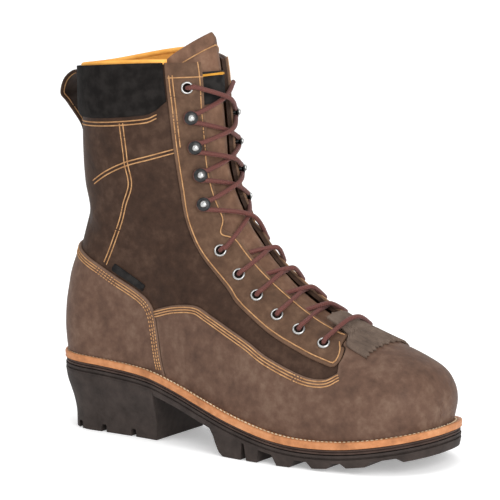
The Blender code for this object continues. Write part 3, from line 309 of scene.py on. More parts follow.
class BootForm:
    """The upper's outer form as a function of its side view."""

    def __init__(self) -> None:
        """Prepare the ridge and the fan of sections."""
        rows = np.column_stack([
            RIDGE[:, 0] * S.length,
            RIDGE[:, 1] * S.toe_height + RIDGE[:, 2] * (S.collar - S.toe_height),
            RIDGE[:, 3] * S.ball,
            RIDGE[:, 4]])
        rows[0, 1] = float(self.seat(rows[0, 0])) + S.gap
        fine = curve_through(rows, 24)
        gone = np.concatenate([[0], np.cumsum(np.linalg.norm(np.diff(fine[:, :2], axis=0), axis=1))])
        places = np.linspace(0, gone[-1], 600)
        self.ridge = np.column_stack([np.interp(places, gone, fine[:, k]) for k in range(4)])
        self.arc = np.concatenate([[0], np.cumsum(np.linalg.norm(
            np.diff(self.ridge[:, :2], axis=0), axis=1))])
        top = np.nonzero(self.ridge[:, 1] > S.collar + S.collar_lift)[0]
        self.whole = float(self.arc[top[0]])

    @staticmethod
    def spring(share: np.ndarray) -> np.ndarray:
        """Lift of the sole in front of the ball."""
        return S.toe_spring * np.clip((share - S.spring_start) / (1 - S.spring_start), 0, None) ** 1.6

    @classmethod
    def seat(cls, along: np.ndarray) -> np.ndarray:
        """Height of the welt's top.

        Args:
            along: distance from the heel back.

        Returns:
            The height.
        """
        share = np.asarray(along, float) / S.length
        rise = (S.heel_rise - S.forefoot_rise) * smooth(SEAT, 1, share)
        return S.forefoot_rise + S.welt + rise + cls.spring(share)

    @staticmethod
    def back(up: np.ndarray) -> np.ndarray:
        """Distance of the back line from the heel back."""
        return smooth(BACK, 1, np.asarray(up, float) / S.collar) * S.length

    @staticmethod
    def centre(along: np.ndarray) -> np.ndarray:
        """Sideways place of the boot's middle."""
        return smooth(PLAN, 3, np.asarray(along, float) / S.length) * S.ball

    def half_width(self, along: np.ndarray, up: np.ndarray, side: Side) -> np.ndarray:
        """Half width of the upper at a place of its side view.

        Args:
            along: distance from the heel back.
            up: height.
            side: which side.

        Returns:
            The half width.
        """
        along, up = np.broadcast_arrays(np.asarray(along, float), np.asarray(up, float))
        shape = along.shape
        along, up = along.ravel(), up.ravel()
        column = 1 if side is Side.LATERAL else 2
        plan = smooth(PLAN, column, along / S.length)
        heel = plan / PLAN[0, column] * (S.heel_width / S.ball) / 2
        blend = np.clip((along / S.length - 0.2) / 0.3, 0, 1)
        foot = (heel * (1 - blend) + plan * blend) * S.ball
        high = up / S.collar
        mix = smooth(SHAFT, 2, high)
        whole = foot * (1 - mix) + smooth(SHAFT, 1, high) * S.shaft_width * mix
        share = (along - self.back(up)) / (smooth(BACK, 2, high) * S.heel_width)
        reach = np.empty(len(along))
        near = np.empty(len(along), int)
        for i in range(0, len(along), 4000):
            spot = np.column_stack([along[i:i + 4000], up[i:i + 4000]])
            away = ((spot[:, None, :] - self.ridge[None, :, :2]) ** 2).sum(2)
            near[i:i + 4000] = away.argmin(1)
            reach[i:i + 4000] = np.sqrt(away.min(1))
        wide = whole * round_off(share, 2.15) * round_off(reach / self.ridge[near, 2], self.ridge[near, 3])
        return wide.reshape(shape)

    def point(self, along: np.ndarray, up: np.ndarray, side: Side) -> np.ndarray:
        """Points of the outer form.

        Args:
            along: distances from the heel back.
            up: heights.
            side: which side.

        Returns:
            Points in the row frame.
        """
        along, up = np.asarray(along, float), np.asarray(up, float)
        wide = self.half_width(along, up, side)
        return np.stack([along - S.setback, self.centre(along) + side.value * wide, up], -1)

    def normal(self, along: np.ndarray, up: np.ndarray, side: Side) -> np.ndarray:
        """Outward directions of the outer form.

        Args:
            along: distances from the heel back.
            up: heights.
            side: which side.

        Returns:
            Unit vectors.
        """
        along, up = np.asarray(along, float), np.asarray(up, float)
        step = 0.0006
        ahead = self.point(along + step, up, side) - self.point(along - step, up, side)
        above = self.point(along, up + step, side) - self.point(along, up - step, side)
        out = np.cross(ahead, above) * -side.value
        return out / np.linalg.norm(out, axis=-1, keepdims=True)

    @staticmethod
    def flex(up: np.ndarray) -> np.ndarray:
        """Depth of the flex notch in the throat's edge."""
        return S.flex_deep * np.exp(-((up - S.flex_place * S.collar) / S.flex_half) ** 2)

    def ridge_at(self, arc: np.ndarray) -> np.ndarray:
        """Side-view places of the ridge."""
        return np.stack([np.interp(arc, self.arc, self.ridge[:, k]) for k in (0, 1)], -1)

    def arc_at(self, share: float) -> float:
        """Arc length at which the ridge passes a share of the length."""
        first = np.nonzero(self.ridge[:, 1] > S.toe_height)[0][0]
        return float(np.interp(share * S.length, self.ridge[first:, 0][::-1], self.arc[first:][::-1]))

    def sections(self, count: int) -> dict[str, np.ndarray]:
        """Ends of the upper's sections, toe tip first.

        Args:
            count: how many sections.

        Returns:
            Ridge points, base points, turn and arc length of each.
        """
        tip = RIDGE[0, 0] * S.length
        heel = float(self.back(S.heel_rise + S.welt))
        along = tip - (tip - heel) * (1 - np.cos(np.linspace(0, math.pi, 200))) / 2
        feather = np.column_stack([along, self.seat(along) + S.seat_gap])
        rise = np.linspace(feather[-1, 1], S.collar, 120)[1:]
        path = np.vstack([feather, np.column_stack([self.back(rise), rise])])
        gone = np.concatenate([[0], np.cumsum(np.linalg.norm(np.diff(path, axis=0), axis=1))])
        corner = gone[199] / gone[-1]
        share = np.unique(np.concatenate([np.linspace(0, 1, count), [corner],
                                          0.03 * np.linspace(0, 1, 14) ** 1.5]))
        base = np.stack([np.interp(share * gone[-1], gone, path[:, k]) for k in (0, 1)], -1)
        arc = smooth(FAN, 1, share) * self.whole
        turn = np.clip((share - 0.45) / (corner - 0.45), 0, 1)
        return {"top": self.ridge_at(arc), "base": base, "turn": turn, "arc": arc}

    def relief(self, along: np.ndarray, up: np.ndarray, side: np.ndarray) -> np.ndarray:
        """Creases and soft waves of the leather.

        Args:
            along: distances from the heel back.
            up: heights.
            side: sign of the side for each place.

        Returns:
            Displacement along the normal.
        """
        a, u = along / S.length, up / S.collar
        wave = 0.00022 * (np.sin(31 * a + 9 * u + side) + np.sin(17 * u - 22 * a + 2 * side)
                          + 0.6 * np.sin(53 * a + 41 * u))
        for start, end, wide, deep, which in CREASES:
            (x0, z0), (x1, z1) = side_points([start, end])
            run = np.array([x1 - x0, z1 - z0])
            t = ((along - x0) * run[0] + (up - z0) * run[1]) / (run @ run)
            across = ((along - x0) * -run[1] + (up - z0) * run[0]) / np.linalg.norm(run)
            taper = np.exp(-((t - 0.5) / 0.42) ** 4)
            bow = across + 0.004 * np.sin(math.pi * np.clip(t, 0, 1))
            trough = np.exp(-(bow / wide) ** 2) - 0.45 * np.exp(-((bow - 1.9 * wide) / wide) ** 2)
            wave = wave - deep * trough * taper * (side == which.value)
        seat = self.seat(along)
        return wave * np.clip((up - seat) / 0.018, 0, 1)


@dataclass
class Sheet:
    """Triangle sheet with a normal and named numbers at each vertex."""

    pos: np.ndarray
    nrm: np.ndarray
    tri: np.ndarray
    data: dict[str, np.ndarray] = field(default_factory=dict)

    def cut(self, name: str, level: float) -> "Sheet":
        """Split triangles where a named number passes a level.

        Args:
            name: the number.
            level: the level.

        Returns:
            The same sheet with more triangles.
        """
        over = self.data[name] > level
        ups = over[self.tri].sum(1)
        split = (ups == 1) | (ups == 2)
        if not split.any():
            return self
        part = self.tri[split]
        lone = over[part] == (ups[split] == 1)[:, None]
        first = lone.argmax(1)
        rows = np.arange(len(part))
        a, b, c = part[rows, first], part[rows, (first + 1) % 3], part[rows, (first + 2) % 3]
        edges = np.sort(np.vstack([np.column_stack([a, b]), np.column_stack([a, c])]), axis=1)
        unique, back = np.unique(edges, axis=0, return_inverse=True)
        back = back.ravel()
        value = self.data[name]
        low, high = value[unique[:, 0]], value[unique[:, 1]]
        t = (level - low) / (high - low)

        def mixed(array: np.ndarray) -> np.ndarray:
            """Values where the level cuts each edge."""
            share = t.reshape((-1,) + (1,) * (array.ndim - 1))
            return array[unique[:, 0]] * (1 - share) + array[unique[:, 1]] * share

        new = len(self.pos) + back
        ab, ac = new[:len(part)], new[len(part):]
        tri = np.vstack([self.tri[~split], np.column_stack([a, ab, ac]),
                         np.column_stack([ab, b, c]), np.column_stack([ab, c, ac])])
        nrm = mixed(self.nrm)
        nrm /= np.linalg.norm(nrm, axis=1)[:, None]
        data = {key: np.concatenate([array, mixed(array)]) for key, array in self.data.items()}
        return Sheet(np.vstack([self.pos, mixed(self.pos)]), np.vstack([self.nrm, nrm]), tri, data)

    def kept(self, mask: np.ndarray) -> "Sheet":
        """Keep some triangles.

        Args:
            mask: which ones.

        Returns:
            A smaller sheet.
        """
        tri = self.tri[mask]
        used, back = np.unique(tri, return_inverse=True)
        data = {key: array[used] for key, array in self.data.items()}
        return Sheet(self.pos[used], self.nrm[used], back.reshape(tri.shape), data)

    def mean(self, name: str) -> np.ndarray:
        """Mean of a named number over each triangle."""
        return self.data[name][self.tri].mean(1)

    def border(self) -> np.ndarray:
        """Directed edges that belong to one triangle only.

        Returns:
            Pairs of vertex numbers.
        """
        edges = np.vstack([self.tri[:, [0, 1]], self.tri[:, [1, 2]], self.tri[:, [2, 0]]])
        key = np.sort(edges, axis=1)
        _, back, count = np.unique(key, axis=0, return_inverse=True, return_counts=True)
        return edges[count[back.ravel()] == 1]


def new_piece(name: str, verts: np.ndarray, faces: list, finishes: Sequence[bpy.types.Material],
              slot: Slot, nodes: Sequence[str] = (), indices: Sequence[int] | None = None,
              angle: float = 60.0) -> bpy.types.Object:
    """Make a mesh piece that rides on the boot.

    Args:
        name: its name.
        verts: vertices in the row frame.
        faces: faces as vertex numbers.
        finishes: its materials.
        slot: not used.
        nodes: CAD nodes that it stands for.
        indices: material number of each face.
        angle: edges sharper than this stay sharp.

    Returns:
        The new object.
    """
    mesh = bpy.data.meshes.new(name)
    mesh.from_pydata([tuple(map(float, v)) for v in verts], [], [tuple(map(int, f)) for f in faces])
    mesh.validate()
    mesh.update()
    for finish in finishes:
        mesh.materials.append(finish)
    if indices is not None and len(indices) == len(mesh.polygons):
        mesh.polygons.foreach_set("material_index", list(indices))
    mesh.shade_smooth()
    mesh.set_sharp_from_angle(angle=math.radians(angle))
    item = bpy.data.objects.new(name, mesh)
    bpy.context.scene.collection.objects.link(item)
    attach(item, "root")
    if nodes:
        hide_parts(*nodes)
    LOG.info("%s: %d faces", name, len(mesh.polygons))
    return item


def tube_faces(rings: int, sides: int, base: int = 0) -> list[tuple[int, ...]]:
    """Quads between neighbouring rings of a tube."""
    return [(a + k, a + (k + 1) % sides, a + sides + (k + 1) % sides, a + sides + k)
            for a in range(base, base + (rings - 1) * sides, sides) for k in range(sides)]


def turn_outward(item: bpy.types.Object) -> None:
    """Turn a piece's faces outward.

    Args:
        item: the piece.
    """
    work = bmesh.new()
    work.from_mesh(item.data)
    bmesh.ops.recalc_face_normals(work, faces=work.faces)
    work.to_mesh(item.data)
    work.free()


def thick_sheet(sheet: Sheet, low: np.ndarray | float, high: np.ndarray | float
                ) -> tuple[np.ndarray, np.ndarray, np.ndarray]:
    """Closed solid between two offsets of a sheet.

    Args:
        sheet: the sheet.
        low: inner offset.
        high: outer offset.

    Returns:
        Vertices, triangles and a kind for each triangle: 0 outer, 1 inner, 2 rim.
    """
    count = len(sheet.pos)
    outer = sheet.pos + sheet.nrm * np.reshape(high, (-1, 1))
    inner = sheet.pos + sheet.nrm * np.reshape(low, (-1, 1))
    edge = sheet.border()
    rim = np.vstack([np.column_stack([edge[:, 1], edge[:, 0], edge[:, 0] + count]),
                     np.column_stack([edge[:, 1], edge[:, 0] + count, edge[:, 1] + count])])
    tris = np.vstack([sheet.tri, sheet.tri[:, ::-1] + count, rim])
    kinds = np.concatenate([np.zeros(len(sheet.tri)), np.ones(len(sheet.tri)), np.full(len(rim), 2)])
    return np.vstack([outer, inner]), tris, kinds.astype(int)


def distance_in(points: np.ndarray, outline: np.ndarray) -> np.ndarray:
    """Signed distance inside a closed side-view outline.

    Args:
        points: places to test.
        outline: corners of the outline.

    Returns:
        Distance, positive inside.
    """
    a, b = outline, np.roll(outline, -1, axis=0)
    run = b - a
    size = np.maximum((run ** 2).sum(1), 1e-16)
    best = np.full(len(points), 9.0)
    inside = np.zeros(len(points), bool)
    for start, way, square, end in zip(a, run, size, b):
        rel = points - start
        t = np.clip((rel @ way) / square, 0, 1)
        best = np.minimum(best, np.hypot(rel[:, 0] - t * way[0], rel[:, 1] - t * way[1]))
        crosses = (start[1] > points[:, 1]) != (end[1] > points[:, 1])
        if way[1] != 0:
            inside ^= crosses & (points[:, 0] < start[0] + way[0] * rel[:, 1] / way[1])
    return np.where(inside, best, -best)


@dataclass(frozen=True)
class Leather:
    """Main, hollow and rubbed colour of a leather, and its roughness."""

    name: str
    mid: Colour
    dark: Colour
    light: Colour
    rough: float


@dataclass(frozen=True)
class Cloth:
    """Both colours of a cloth or nap, its roughness, weave and bump."""

    name: str
    first: Colour
    second: Colour
    rough: float
    scale: float
    strength: float


@dataclass(frozen=True)
class Plain:
    """Colour and roughness of a rubber or a metal."""

    name: str
    colour: Colour
    rough: float


class Finishes:
    """Procedural materials of the boot."""

    def __init__(self) -> None:
        """Make every material once."""
        self.leather = self.hide(Leather("quarter_leather", (0.045, 0.025, 0.017),
                                         (0.024, 0.014, 0.010), (0.085, 0.050, 0.034), 0.52))
        self.vamp = self.hide(Leather("vamp_leather", (0.112, 0.064, 0.045), (0.062, 0.036, 0.026),
                                      (0.180, 0.118, 0.084), 0.50))
        self.stay = self.hide(Leather("stay_leather", (0.093, 0.052, 0.033), (0.048, 0.027, 0.018),
                                      (0.165, 0.098, 0.062), 0.52))
        self.tongue = self.hide(Leather("tongue_leather", (0.165, 0.090, 0.058), (0.080, 0.044, 0.029),
                                        (0.270, 0.160, 0.105), 0.55))
        self.kiltie = self.hide(Leather("kiltie_nap", (0.125, 0.090, 0.070), (0.075, 0.054, 0.043),
                                        (0.190, 0.145, 0.115), 0.82))
        self.suede = self.cloth(Cloth("black_suede", (0.0075, 0.0065, 0.0060), (0.016, 0.014, 0.013),
                                      0.92, 1500, 0.12))
        self.lining = self.cloth(Cloth("yellow_lining", (0.90, 0.45, 0.105), (0.74, 0.33, 0.065),
                                       0.90, 620, 0.35))
        self.tab = self.cloth(Cloth("woven_tab", (0.010, 0.009, 0.009), (0.022, 0.020, 0.019),
                                    0.75, 1800, 0.2))
        self.edging = self.cloth(Cloth("tab_edging", (0.62, 0.30, 0.04), (0.48, 0.22, 0.03), 0.7, 1500, 0.2))
        self.thread = self.cloth(Cloth("tan_thread", (0.50, 0.28, 0.130), (0.36, 0.19, 0.085),
                                       0.6, 2600, 0.3))
        self.welt_thread = self.cloth(Cloth("cream_thread", (0.80, 0.66, 0.47), (0.60, 0.46, 0.30),
                                            0.65, 2200, 0.3))
        self.welt = self.hide(Leather("welt_edge", (0.46, 0.195, 0.085), (0.24, 0.10, 0.045),
                                      (0.60, 0.30, 0.15), 0.45))
        self.midsole = self.rubber(Plain("midsole_rubber", (0.050, 0.032, 0.026), 0.62))
        self.rubber_sole = self.rubber(Plain("lug_rubber", (0.033, 0.025, 0.022), 0.66))
        self.steel = self.metal(Plain("bright_steel", (0.50, 0.50, 0.49), 0.32))
        self.black = self.metal(Plain("black_enamel", (0.012, 0.012, 0.012), 0.32))
        # Near-black colour for the disc inside each eyelet's hole: painted shade standing in for the shadow
        # in the hole.
        self.dark = self.cloth(Cloth("eyelet_hole_painted_shade", (0.006, 0.004, 0.003), (0.010, 0.007, 0.005),
                                     0.95, 900, 0.1))
        self.lace = self.braid("braided_lace")

    @staticmethod
    def base(name: str) -> tuple[bpy.types.Material, bpy.types.Node, Callable]:
        """Start a node material.

        Args:
            name: its name.

        Returns:
            The material, its shader node and a function that adds nodes.
        """
        material = bpy.data.materials.new(name)
        material.use_nodes = True
        tree = material.node_tree
        shader = tree.nodes["Principled BSDF"]

        def add(kind: str, links: dict | None = None, **values: float) -> bpy.types.Node:
            """Add a node and set its values.

            Args:
                kind: the node's type.
                links: source of each linked input.
                values: settings, inputs by name, or inputs as i and their number.

            Returns:
                The node.
            """
            node = tree.nodes.new(kind)
            for key, value in values.items():
                if key[0] == "i" and key[1:].isdigit():
                    node.inputs[int(key[1:])].default_value = value
                elif hasattr(node, key):
                    setattr(node, key, value)
                else:
                    node.inputs[key.replace("_", " ")].default_value = value
            for socket, source in (links or {}).items():
                tree.links.new(source, node.inputs[socket])
            return node

        return material, shader, add

    @staticmethod
    def ramp(node: bpy.types.Node, stops: Sequence[tuple[float, tuple[float, float, float]]]) -> None:
        """Set a colour ramp.

        Args:
            node: the ramp node.
            stops: positions and colours.
        """
        items = node.color_ramp.elements
        while len(items) < len(stops):
            items.new(0.5)
        for item, (place, colour) in zip(items, stops):
            item.position = place
            item.color = (*colour, 1.0)

    def hide(self, look: Leather) -> bpy.types.Material:
        """Oiled leather with cloudy colour, grain and fine scuffs.

        Args:
            look: what it looks like.

        Returns:
            The material.
        """
        name, mid, dark, light, rough = astuple(look)
        material, shader, add = self.base(name)
        link = material.node_tree.links.new
        where = add("ShaderNodeTexCoord").outputs["Object"]
        cloud = add("ShaderNodeTexNoise", {"Vector": where}, Scale=26.0, Detail=5.0, Roughness=0.62,
                    Distortion=0.6)
        mottle = add("ShaderNodeTexNoise", {"Vector": where}, Scale=150.0, Detail=4.0, Roughness=0.6)
        grain = add("ShaderNodeTexVoronoi", {"Vector": where}, Scale=1100.0)
        pores = add("ShaderNodeTexNoise", {"Vector": where}, Scale=2300.0, Detail=2.0)
        wrinkle = add("ShaderNodeTexNoise", {"Vector": where}, Scale=95.0, Detail=3.0, Distortion=2.2)
        scuff = add("ShaderNodeTexNoise", {"Vector": where}, Scale=60.0, Detail=8.0, Roughness=0.75,
                    Distortion=1.2)
        both = add("ShaderNodeMath", {0: cloud.outputs["Fac"], 1: mottle.outputs["Fac"]},
                   operation="ADD")
        half = add("ShaderNodeMath", {0: both.outputs[0]}, operation="MULTIPLY", i1=0.5)
        tint = add("ShaderNodeValToRGB", {"Fac": half.outputs[0]})
        self.ramp(tint, [(0.30, dark), (0.50, mid), (0.72, light)])
        rub = add("ShaderNodeValToRGB", {"Fac": scuff.outputs["Fac"]})
        self.ramp(rub, [(0.62, (0, 0, 0)), (0.84, (0.35, 0.35, 0.35))])
        worn = add("ShaderNodeAttribute", attribute_name="rub")
        more = add("ShaderNodeMath", {0: rub.outputs["Color"], 1: worn.outputs["Fac"]}, operation="ADD",
                   use_clamp=True)
        blend = add("ShaderNodeMix", {0: more.outputs[0]}, data_type="RGBA")
        link(tint.outputs["Color"], blend.inputs[6])
        blend.inputs[7].default_value = (*[min(1.0, c * 1.25) for c in light], 1.0)
        link(blend.outputs[2], shader.inputs["Base Color"])
        tops = add("ShaderNodeMath", {0: grain.outputs["Distance"]}, operation="MULTIPLY", i1=0.5)
        fine = add("ShaderNodeMath", {0: pores.outputs["Fac"], 1: tops.outputs[0]}, operation="ADD")
        first = add("ShaderNodeBump", {"Height": wrinkle.outputs["Fac"]}, Strength=0.22, Distance=0.0011)
        second = add("ShaderNodeBump", {"Height": fine.outputs[0], "Normal": first.outputs["Normal"]},
                     Strength=0.20, Distance=0.00025)
        link(second.outputs["Normal"], shader.inputs["Normal"])
        gloss = add("ShaderNodeMapRange", {"Value": mottle.outputs["Fac"]}, i3=rough - 0.07, i4=rough + 0.10)
        link(gloss.outputs[0], shader.inputs["Roughness"])
        shader.inputs["Specular IOR Level"].default_value = 0.07
        return material

    def cloth(self, look: Cloth) -> bpy.types.Material:
        """Fabric or napped leather.

        Args:
            look: what it looks like.

        Returns:
            The material.
        """
        name, first, second, rough, scale, strength = astuple(look)
        material, shader, add = self.base(name)
        link = material.node_tree.links.new
        where = add("ShaderNodeTexCoord").outputs["Object"]
        weave = add("ShaderNodeTexVoronoi", {"Vector": where}, Scale=scale)
        patch = add("ShaderNodeTexNoise", {"Vector": where}, Scale=scale / 12, Detail=4.0)
        tint = add("ShaderNodeValToRGB", {"Fac": patch.outputs["Fac"]})
        self.ramp(tint, [(0.38, second), (0.62, first)])
        link(tint.outputs["Color"], shader.inputs["Base Color"])
        bump = add("ShaderNodeBump", {"Height": weave.outputs["Distance"]}, Strength=strength,
                   Distance=0.0006)
        link(bump.outputs["Normal"], shader.inputs["Normal"])
        shader.inputs["Roughness"].default_value = rough
        shader.inputs["Specular IOR Level"].default_value = 0.10
        return material

    def rubber(self, look: Plain) -> bpy.types.Material:
        """Moulded rubber with a dusty bloom.

        Args:
            look: what it looks like.

        Returns:
            The material.
        """
        name, colour, rough = astuple(look)
        material, shader, add = self.base(name)
        link = material.node_tree.links.new
        where = add("ShaderNodeTexCoord").outputs["Object"]
        bloom = add("ShaderNodeTexNoise", {"Vector": where}, Scale=70.0, Detail=6.0, Roughness=0.7)
        speck = add("ShaderNodeTexNoise", {"Vector": where}, Scale=1300.0, Detail=3.0)
        tint = add("ShaderNodeValToRGB", {"Fac": bloom.outputs["Fac"]})
        self.ramp(tint, [(0.35, tuple(c * 0.75 for c in colour)), (0.68, tuple(c * 1.5 for c in colour))])
        link(tint.outputs["Color"], shader.inputs["Base Color"])
        bump = add("ShaderNodeBump", {"Height": speck.outputs["Fac"]}, Strength=0.22, Distance=0.0003)
        link(bump.outputs["Normal"], shader.inputs["Normal"])
        shader.inputs["Roughness"].default_value = rough
        shader.inputs["Specular IOR Level"].default_value = 0.12
        return material

    def metal(self, look: Plain) -> bpy.types.Material:
        """Polished or enamelled metal with faint handling marks.

        Args:
            look: what it looks like.

        Returns:
            The material.
        """
        name, colour, rough = astuple(look)
        material, shader, add = self.base(name)
        link = material.node_tree.links.new
        where = add("ShaderNodeTexCoord").outputs["Object"]
        marks = add("ShaderNodeTexNoise", {"Vector": where}, Scale=900.0, Detail=5.0)
        gloss = add("ShaderNodeMapRange", {"Value": marks.outputs["Fac"]}, i3=rough - 0.08, i4=rough + 0.14)
        link(gloss.outputs[0], shader.inputs["Roughness"])
        tint = add("ShaderNodeValToRGB", {"Fac": marks.outputs["Fac"]})
        self.ramp(tint, [(0.3, tuple(c * 0.86 for c in colour)), (0.7, colour)])
        link(tint.outputs["Color"], shader.inputs["Base Color"])
        shader.inputs["Metallic"].default_value = 1.0 if colour[0] > 0.2 else 0.3
        return material

    def braid(self, name: str) -> bpy.types.Material:
        """Round braided lace, red-brown with dark flecks.

        Args:
            name: its name.

        Returns:
            The material.
        """
        material, shader, add = self.base(name)
        link = material.node_tree.links.new
        place = add("ShaderNodeUVMap").outputs["UV"]
        parts = add("ShaderNodeSeparateXYZ", {"Vector": place})
        turns = add("ShaderNodeMath", {0: parts.outputs["X"]}, operation="MULTIPLY", i1=4.0)
        runs = add("ShaderNodeMath", {0: parts.outputs["Y"]}, operation="MULTIPLY", i1=270.0)
        left = add("ShaderNodeMath", {0: turns.outputs[0], 1: runs.outputs[0]}, operation="ADD")
        right = add("ShaderNodeMath", {0: turns.outputs[0], 1: runs.outputs[0]}, operation="SUBTRACT")
        waves = []
        for source in (left, right):
            angle = add("ShaderNodeMath", {0: source.outputs[0]}, operation="MULTIPLY", i1=2 * math.pi)
            waves.append(add("ShaderNodeMath", {0: angle.outputs[0]}, operation="SINE"))
        weave = add("ShaderNodeMath", {0: waves[0].outputs[0], 1: waves[1].outputs[0]},
                    operation="MULTIPLY")
        tint = add("ShaderNodeValToRGB", {"Fac": weave.outputs[0]})
        self.ramp(tint, [(0.0, (0.100, 0.025, 0.018)), (0.50, (0.180, 0.044, 0.031)),
                         (0.78, (0.045, 0.014, 0.010))])
        link(tint.outputs["Color"], shader.inputs["Base Color"])
        bump = add("ShaderNodeBump", {"Height": weave.outputs[0]}, Strength=0.55, Distance=0.00035)
        link(bump.outputs["Normal"], shader.inputs["Normal"])
        shader.inputs["Roughness"].default_value = 0.72
        shader.inputs["Sheen Weight"].default_value = 0.04
        return material


class UpperSheet:
    """Fine sheet of the upper's outer form, both sides welded."""

    def __init__(self, form: BootForm, lines: int = 240, ribs: int = 72) -> None:
        """Make the sheet.

        Args:
            form: the boot's form.
            lines: sections round the boot.
            ribs: steps along each section.
        """
        self.form = form
        self.lines = form.sections(lines)
        grids = {side: self._grid(side, ribs) for side in Side}
        self.throat_rows = {side: grids[side]["pos"] for side in Side}
        self.sheet = self._weld(grids)

    def _grid(self, side: Side, ribs: int) -> dict[str, np.ndarray]:
        """Points of one side.

        Args:
            side: which side.
            ribs: steps along a section.

        Returns:
            Arrays of the grid.
        """
        form, L = self.form, self.lines
        fine = np.linspace(0, 1, 300)
        rim = S.lateral_rim if side is Side.LATERAL else S.medial_rim
        fade = np.clip((L["base"][:, 1] / S.collar - 1 + S.rim_fall) / S.rim_fall, 0, 1) * (L["turn"] >= 1)

        def chord(share: np.ndarray) -> np.ndarray:
            """Side-view places along each section.

            Args:
                share: shares of the way from ridge to base.

            Returns:
                The places.
            """
            line = L["top"][:, None, :] + share[..., None] * (L["base"] - L["top"])[:, None, :]
            line[..., 1] += (rim * fade)[:, None] * np.sin(math.pi * np.clip(share, 0, 1))
            return line

        share = np.broadcast_to(fine, (len(L["arc"]), len(fine)))
        line = chord(share)
        wide = form.half_width(line[..., 0], line[..., 1], side)
        start = S.throat_start * form.whole
        gap = S.throat_half * round_off((L["arc"] - start) / S.throat_round, 2.0) * (L["arc"] > start)
        begin = np.zeros(len(gap))
        for i in np.nonzero(gap > 0)[0]:
            begin[i] = np.interp(gap[i], np.maximum.accumulate(wide[i, :150]), fine[:150])
        t = np.linspace(0, 1, ribs + 1)
        steps = ((1 - L["turn"])[:, None] * (1 - np.cos(math.pi / 2 * t))
                 + L["turn"][:, None] * (1 - np.cos(math.pi * t)) / 2)
        share = begin[:, None] + (1 - begin)[:, None] * steps
        line = chord(share)
        wide = form.half_width(line[..., 0], line[..., 1], side)
        wide[:, 0] = gap
        wide[L["turn"] >= 1, -1] = 0.0
        y = form.centre(line[..., 0]) + side.value * wide
        pos = np.stack([line[..., 0] - S.setback, y, line[..., 1]], -1)
        step = np.linalg.norm(np.diff(pos, axis=1), axis=2)
        reach = np.concatenate([np.zeros((len(pos), 1)), np.cumsum(step, axis=1)], axis=1)
        reach[gap <= 0] = 1.0
        return {"pos": pos, "throat": reach, "line": line}

    def _weld(self, grids: dict[Side, dict[str, np.ndarray]]) -> Sheet:
        """Join both sides in one triangle sheet.

        Args:
            grids: arrays of both sides.

        Returns:
            The sheet.
        """
        parts, tris, base = [], [], 0
        for side in Side:
            pos = grids[side]["pos"]
            rows, cols = pos.shape[:2]
            number = np.arange(rows * cols).reshape(rows, cols) + base
            a, b, c, d = number[:-1, :-1], number[1:, :-1], number[1:, 1:], number[:-1, 1:]
            quads = [(a, b, c), (a, c, d)] if side is Side.LATERAL else [(a, c, b), (a, d, c)]
            tris += [np.stack([k.ravel() for k in quad], 1) for quad in quads]
            at_rim = np.zeros((rows, cols))
            at_rim[-1] = 1.0
            foot = np.zeros((rows, cols))
            foot[self.lines["turn"] < 1, -1] = 1.0
            parts.append(np.column_stack([
                pos.reshape(-1, 3), grids[side]["throat"].ravel(), np.full(rows * cols, side.value),
                at_rim.ravel(), foot.ravel(), grids[side]["line"].reshape(-1, 2)]))
            base += rows * cols
        rows = np.vstack(parts)
        tri = np.vstack(tris)
        key = np.round(rows[:, :3] / 2e-6).astype(np.int64)
        _, first, back = np.unique(key, axis=0, return_index=True, return_inverse=True)
        tri = back.ravel()[tri]
        rows = rows[first]
        tri = tri[(tri[:, 0] != tri[:, 1]) & (tri[:, 1] != tri[:, 2]) & (tri[:, 0] != tri[:, 2])]
        pos = rows[:, :3]
        nrm = self._normals(pos, tri)
        out = nrm[:, 1] * (pos[:, 1] - self.form.centre(pos[:, 0] + S.setback))
        if out.sum() < 0:
            tri, nrm = tri[:, ::-1], -nrm
        foot = rows[:, 6] > 0
        nrm[foot, 2] = 0.0
        nrm /= np.maximum(np.linalg.norm(nrm, axis=1), 1e-12)[:, None]
        inside = 0.90 * S.length
        away = pos - (inside - S.setback, float(self.form.centre(np.array(inside))), 0.45 * S.toe_height)
        away /= np.linalg.norm(away, axis=1)[:, None]
        turned = (pos[:, 0] + S.setback > 0.93 * S.length) & ((nrm * away).sum(axis=1) < 0.35)
        nrm[turned] = away[turned]
        data = {"throat": rows[:, 3] - self.form.flex(pos[:, 2]), "side": rows[:, 4],
                "rim": rows[:, 5], "along": pos[:, 0] + S.setback, "up": pos[:, 2]}
        relief = self.form.relief(data["along"], data["up"], data["side"])
        return Sheet(pos + nrm * relief[:, None], nrm, tri, data)

    @staticmethod
    def _normals(pos: np.ndarray, tri: np.ndarray) -> np.ndarray:
        """Area-weighted vertex normals.

        Args:
            pos: points.
            tri: triangles.

        Returns:
            Unit normals.
        """
        face = np.cross(pos[tri[:, 1]] - pos[tri[:, 0]], pos[tri[:, 2]] - pos[tri[:, 0]])
        nrm = np.zeros_like(pos)
        for k in range(3):
            np.add.at(nrm, tri[:, k], face)
        size = np.linalg.norm(nrm, axis=1)
        return nrm / np.maximum(size, 1e-15)[:, None]

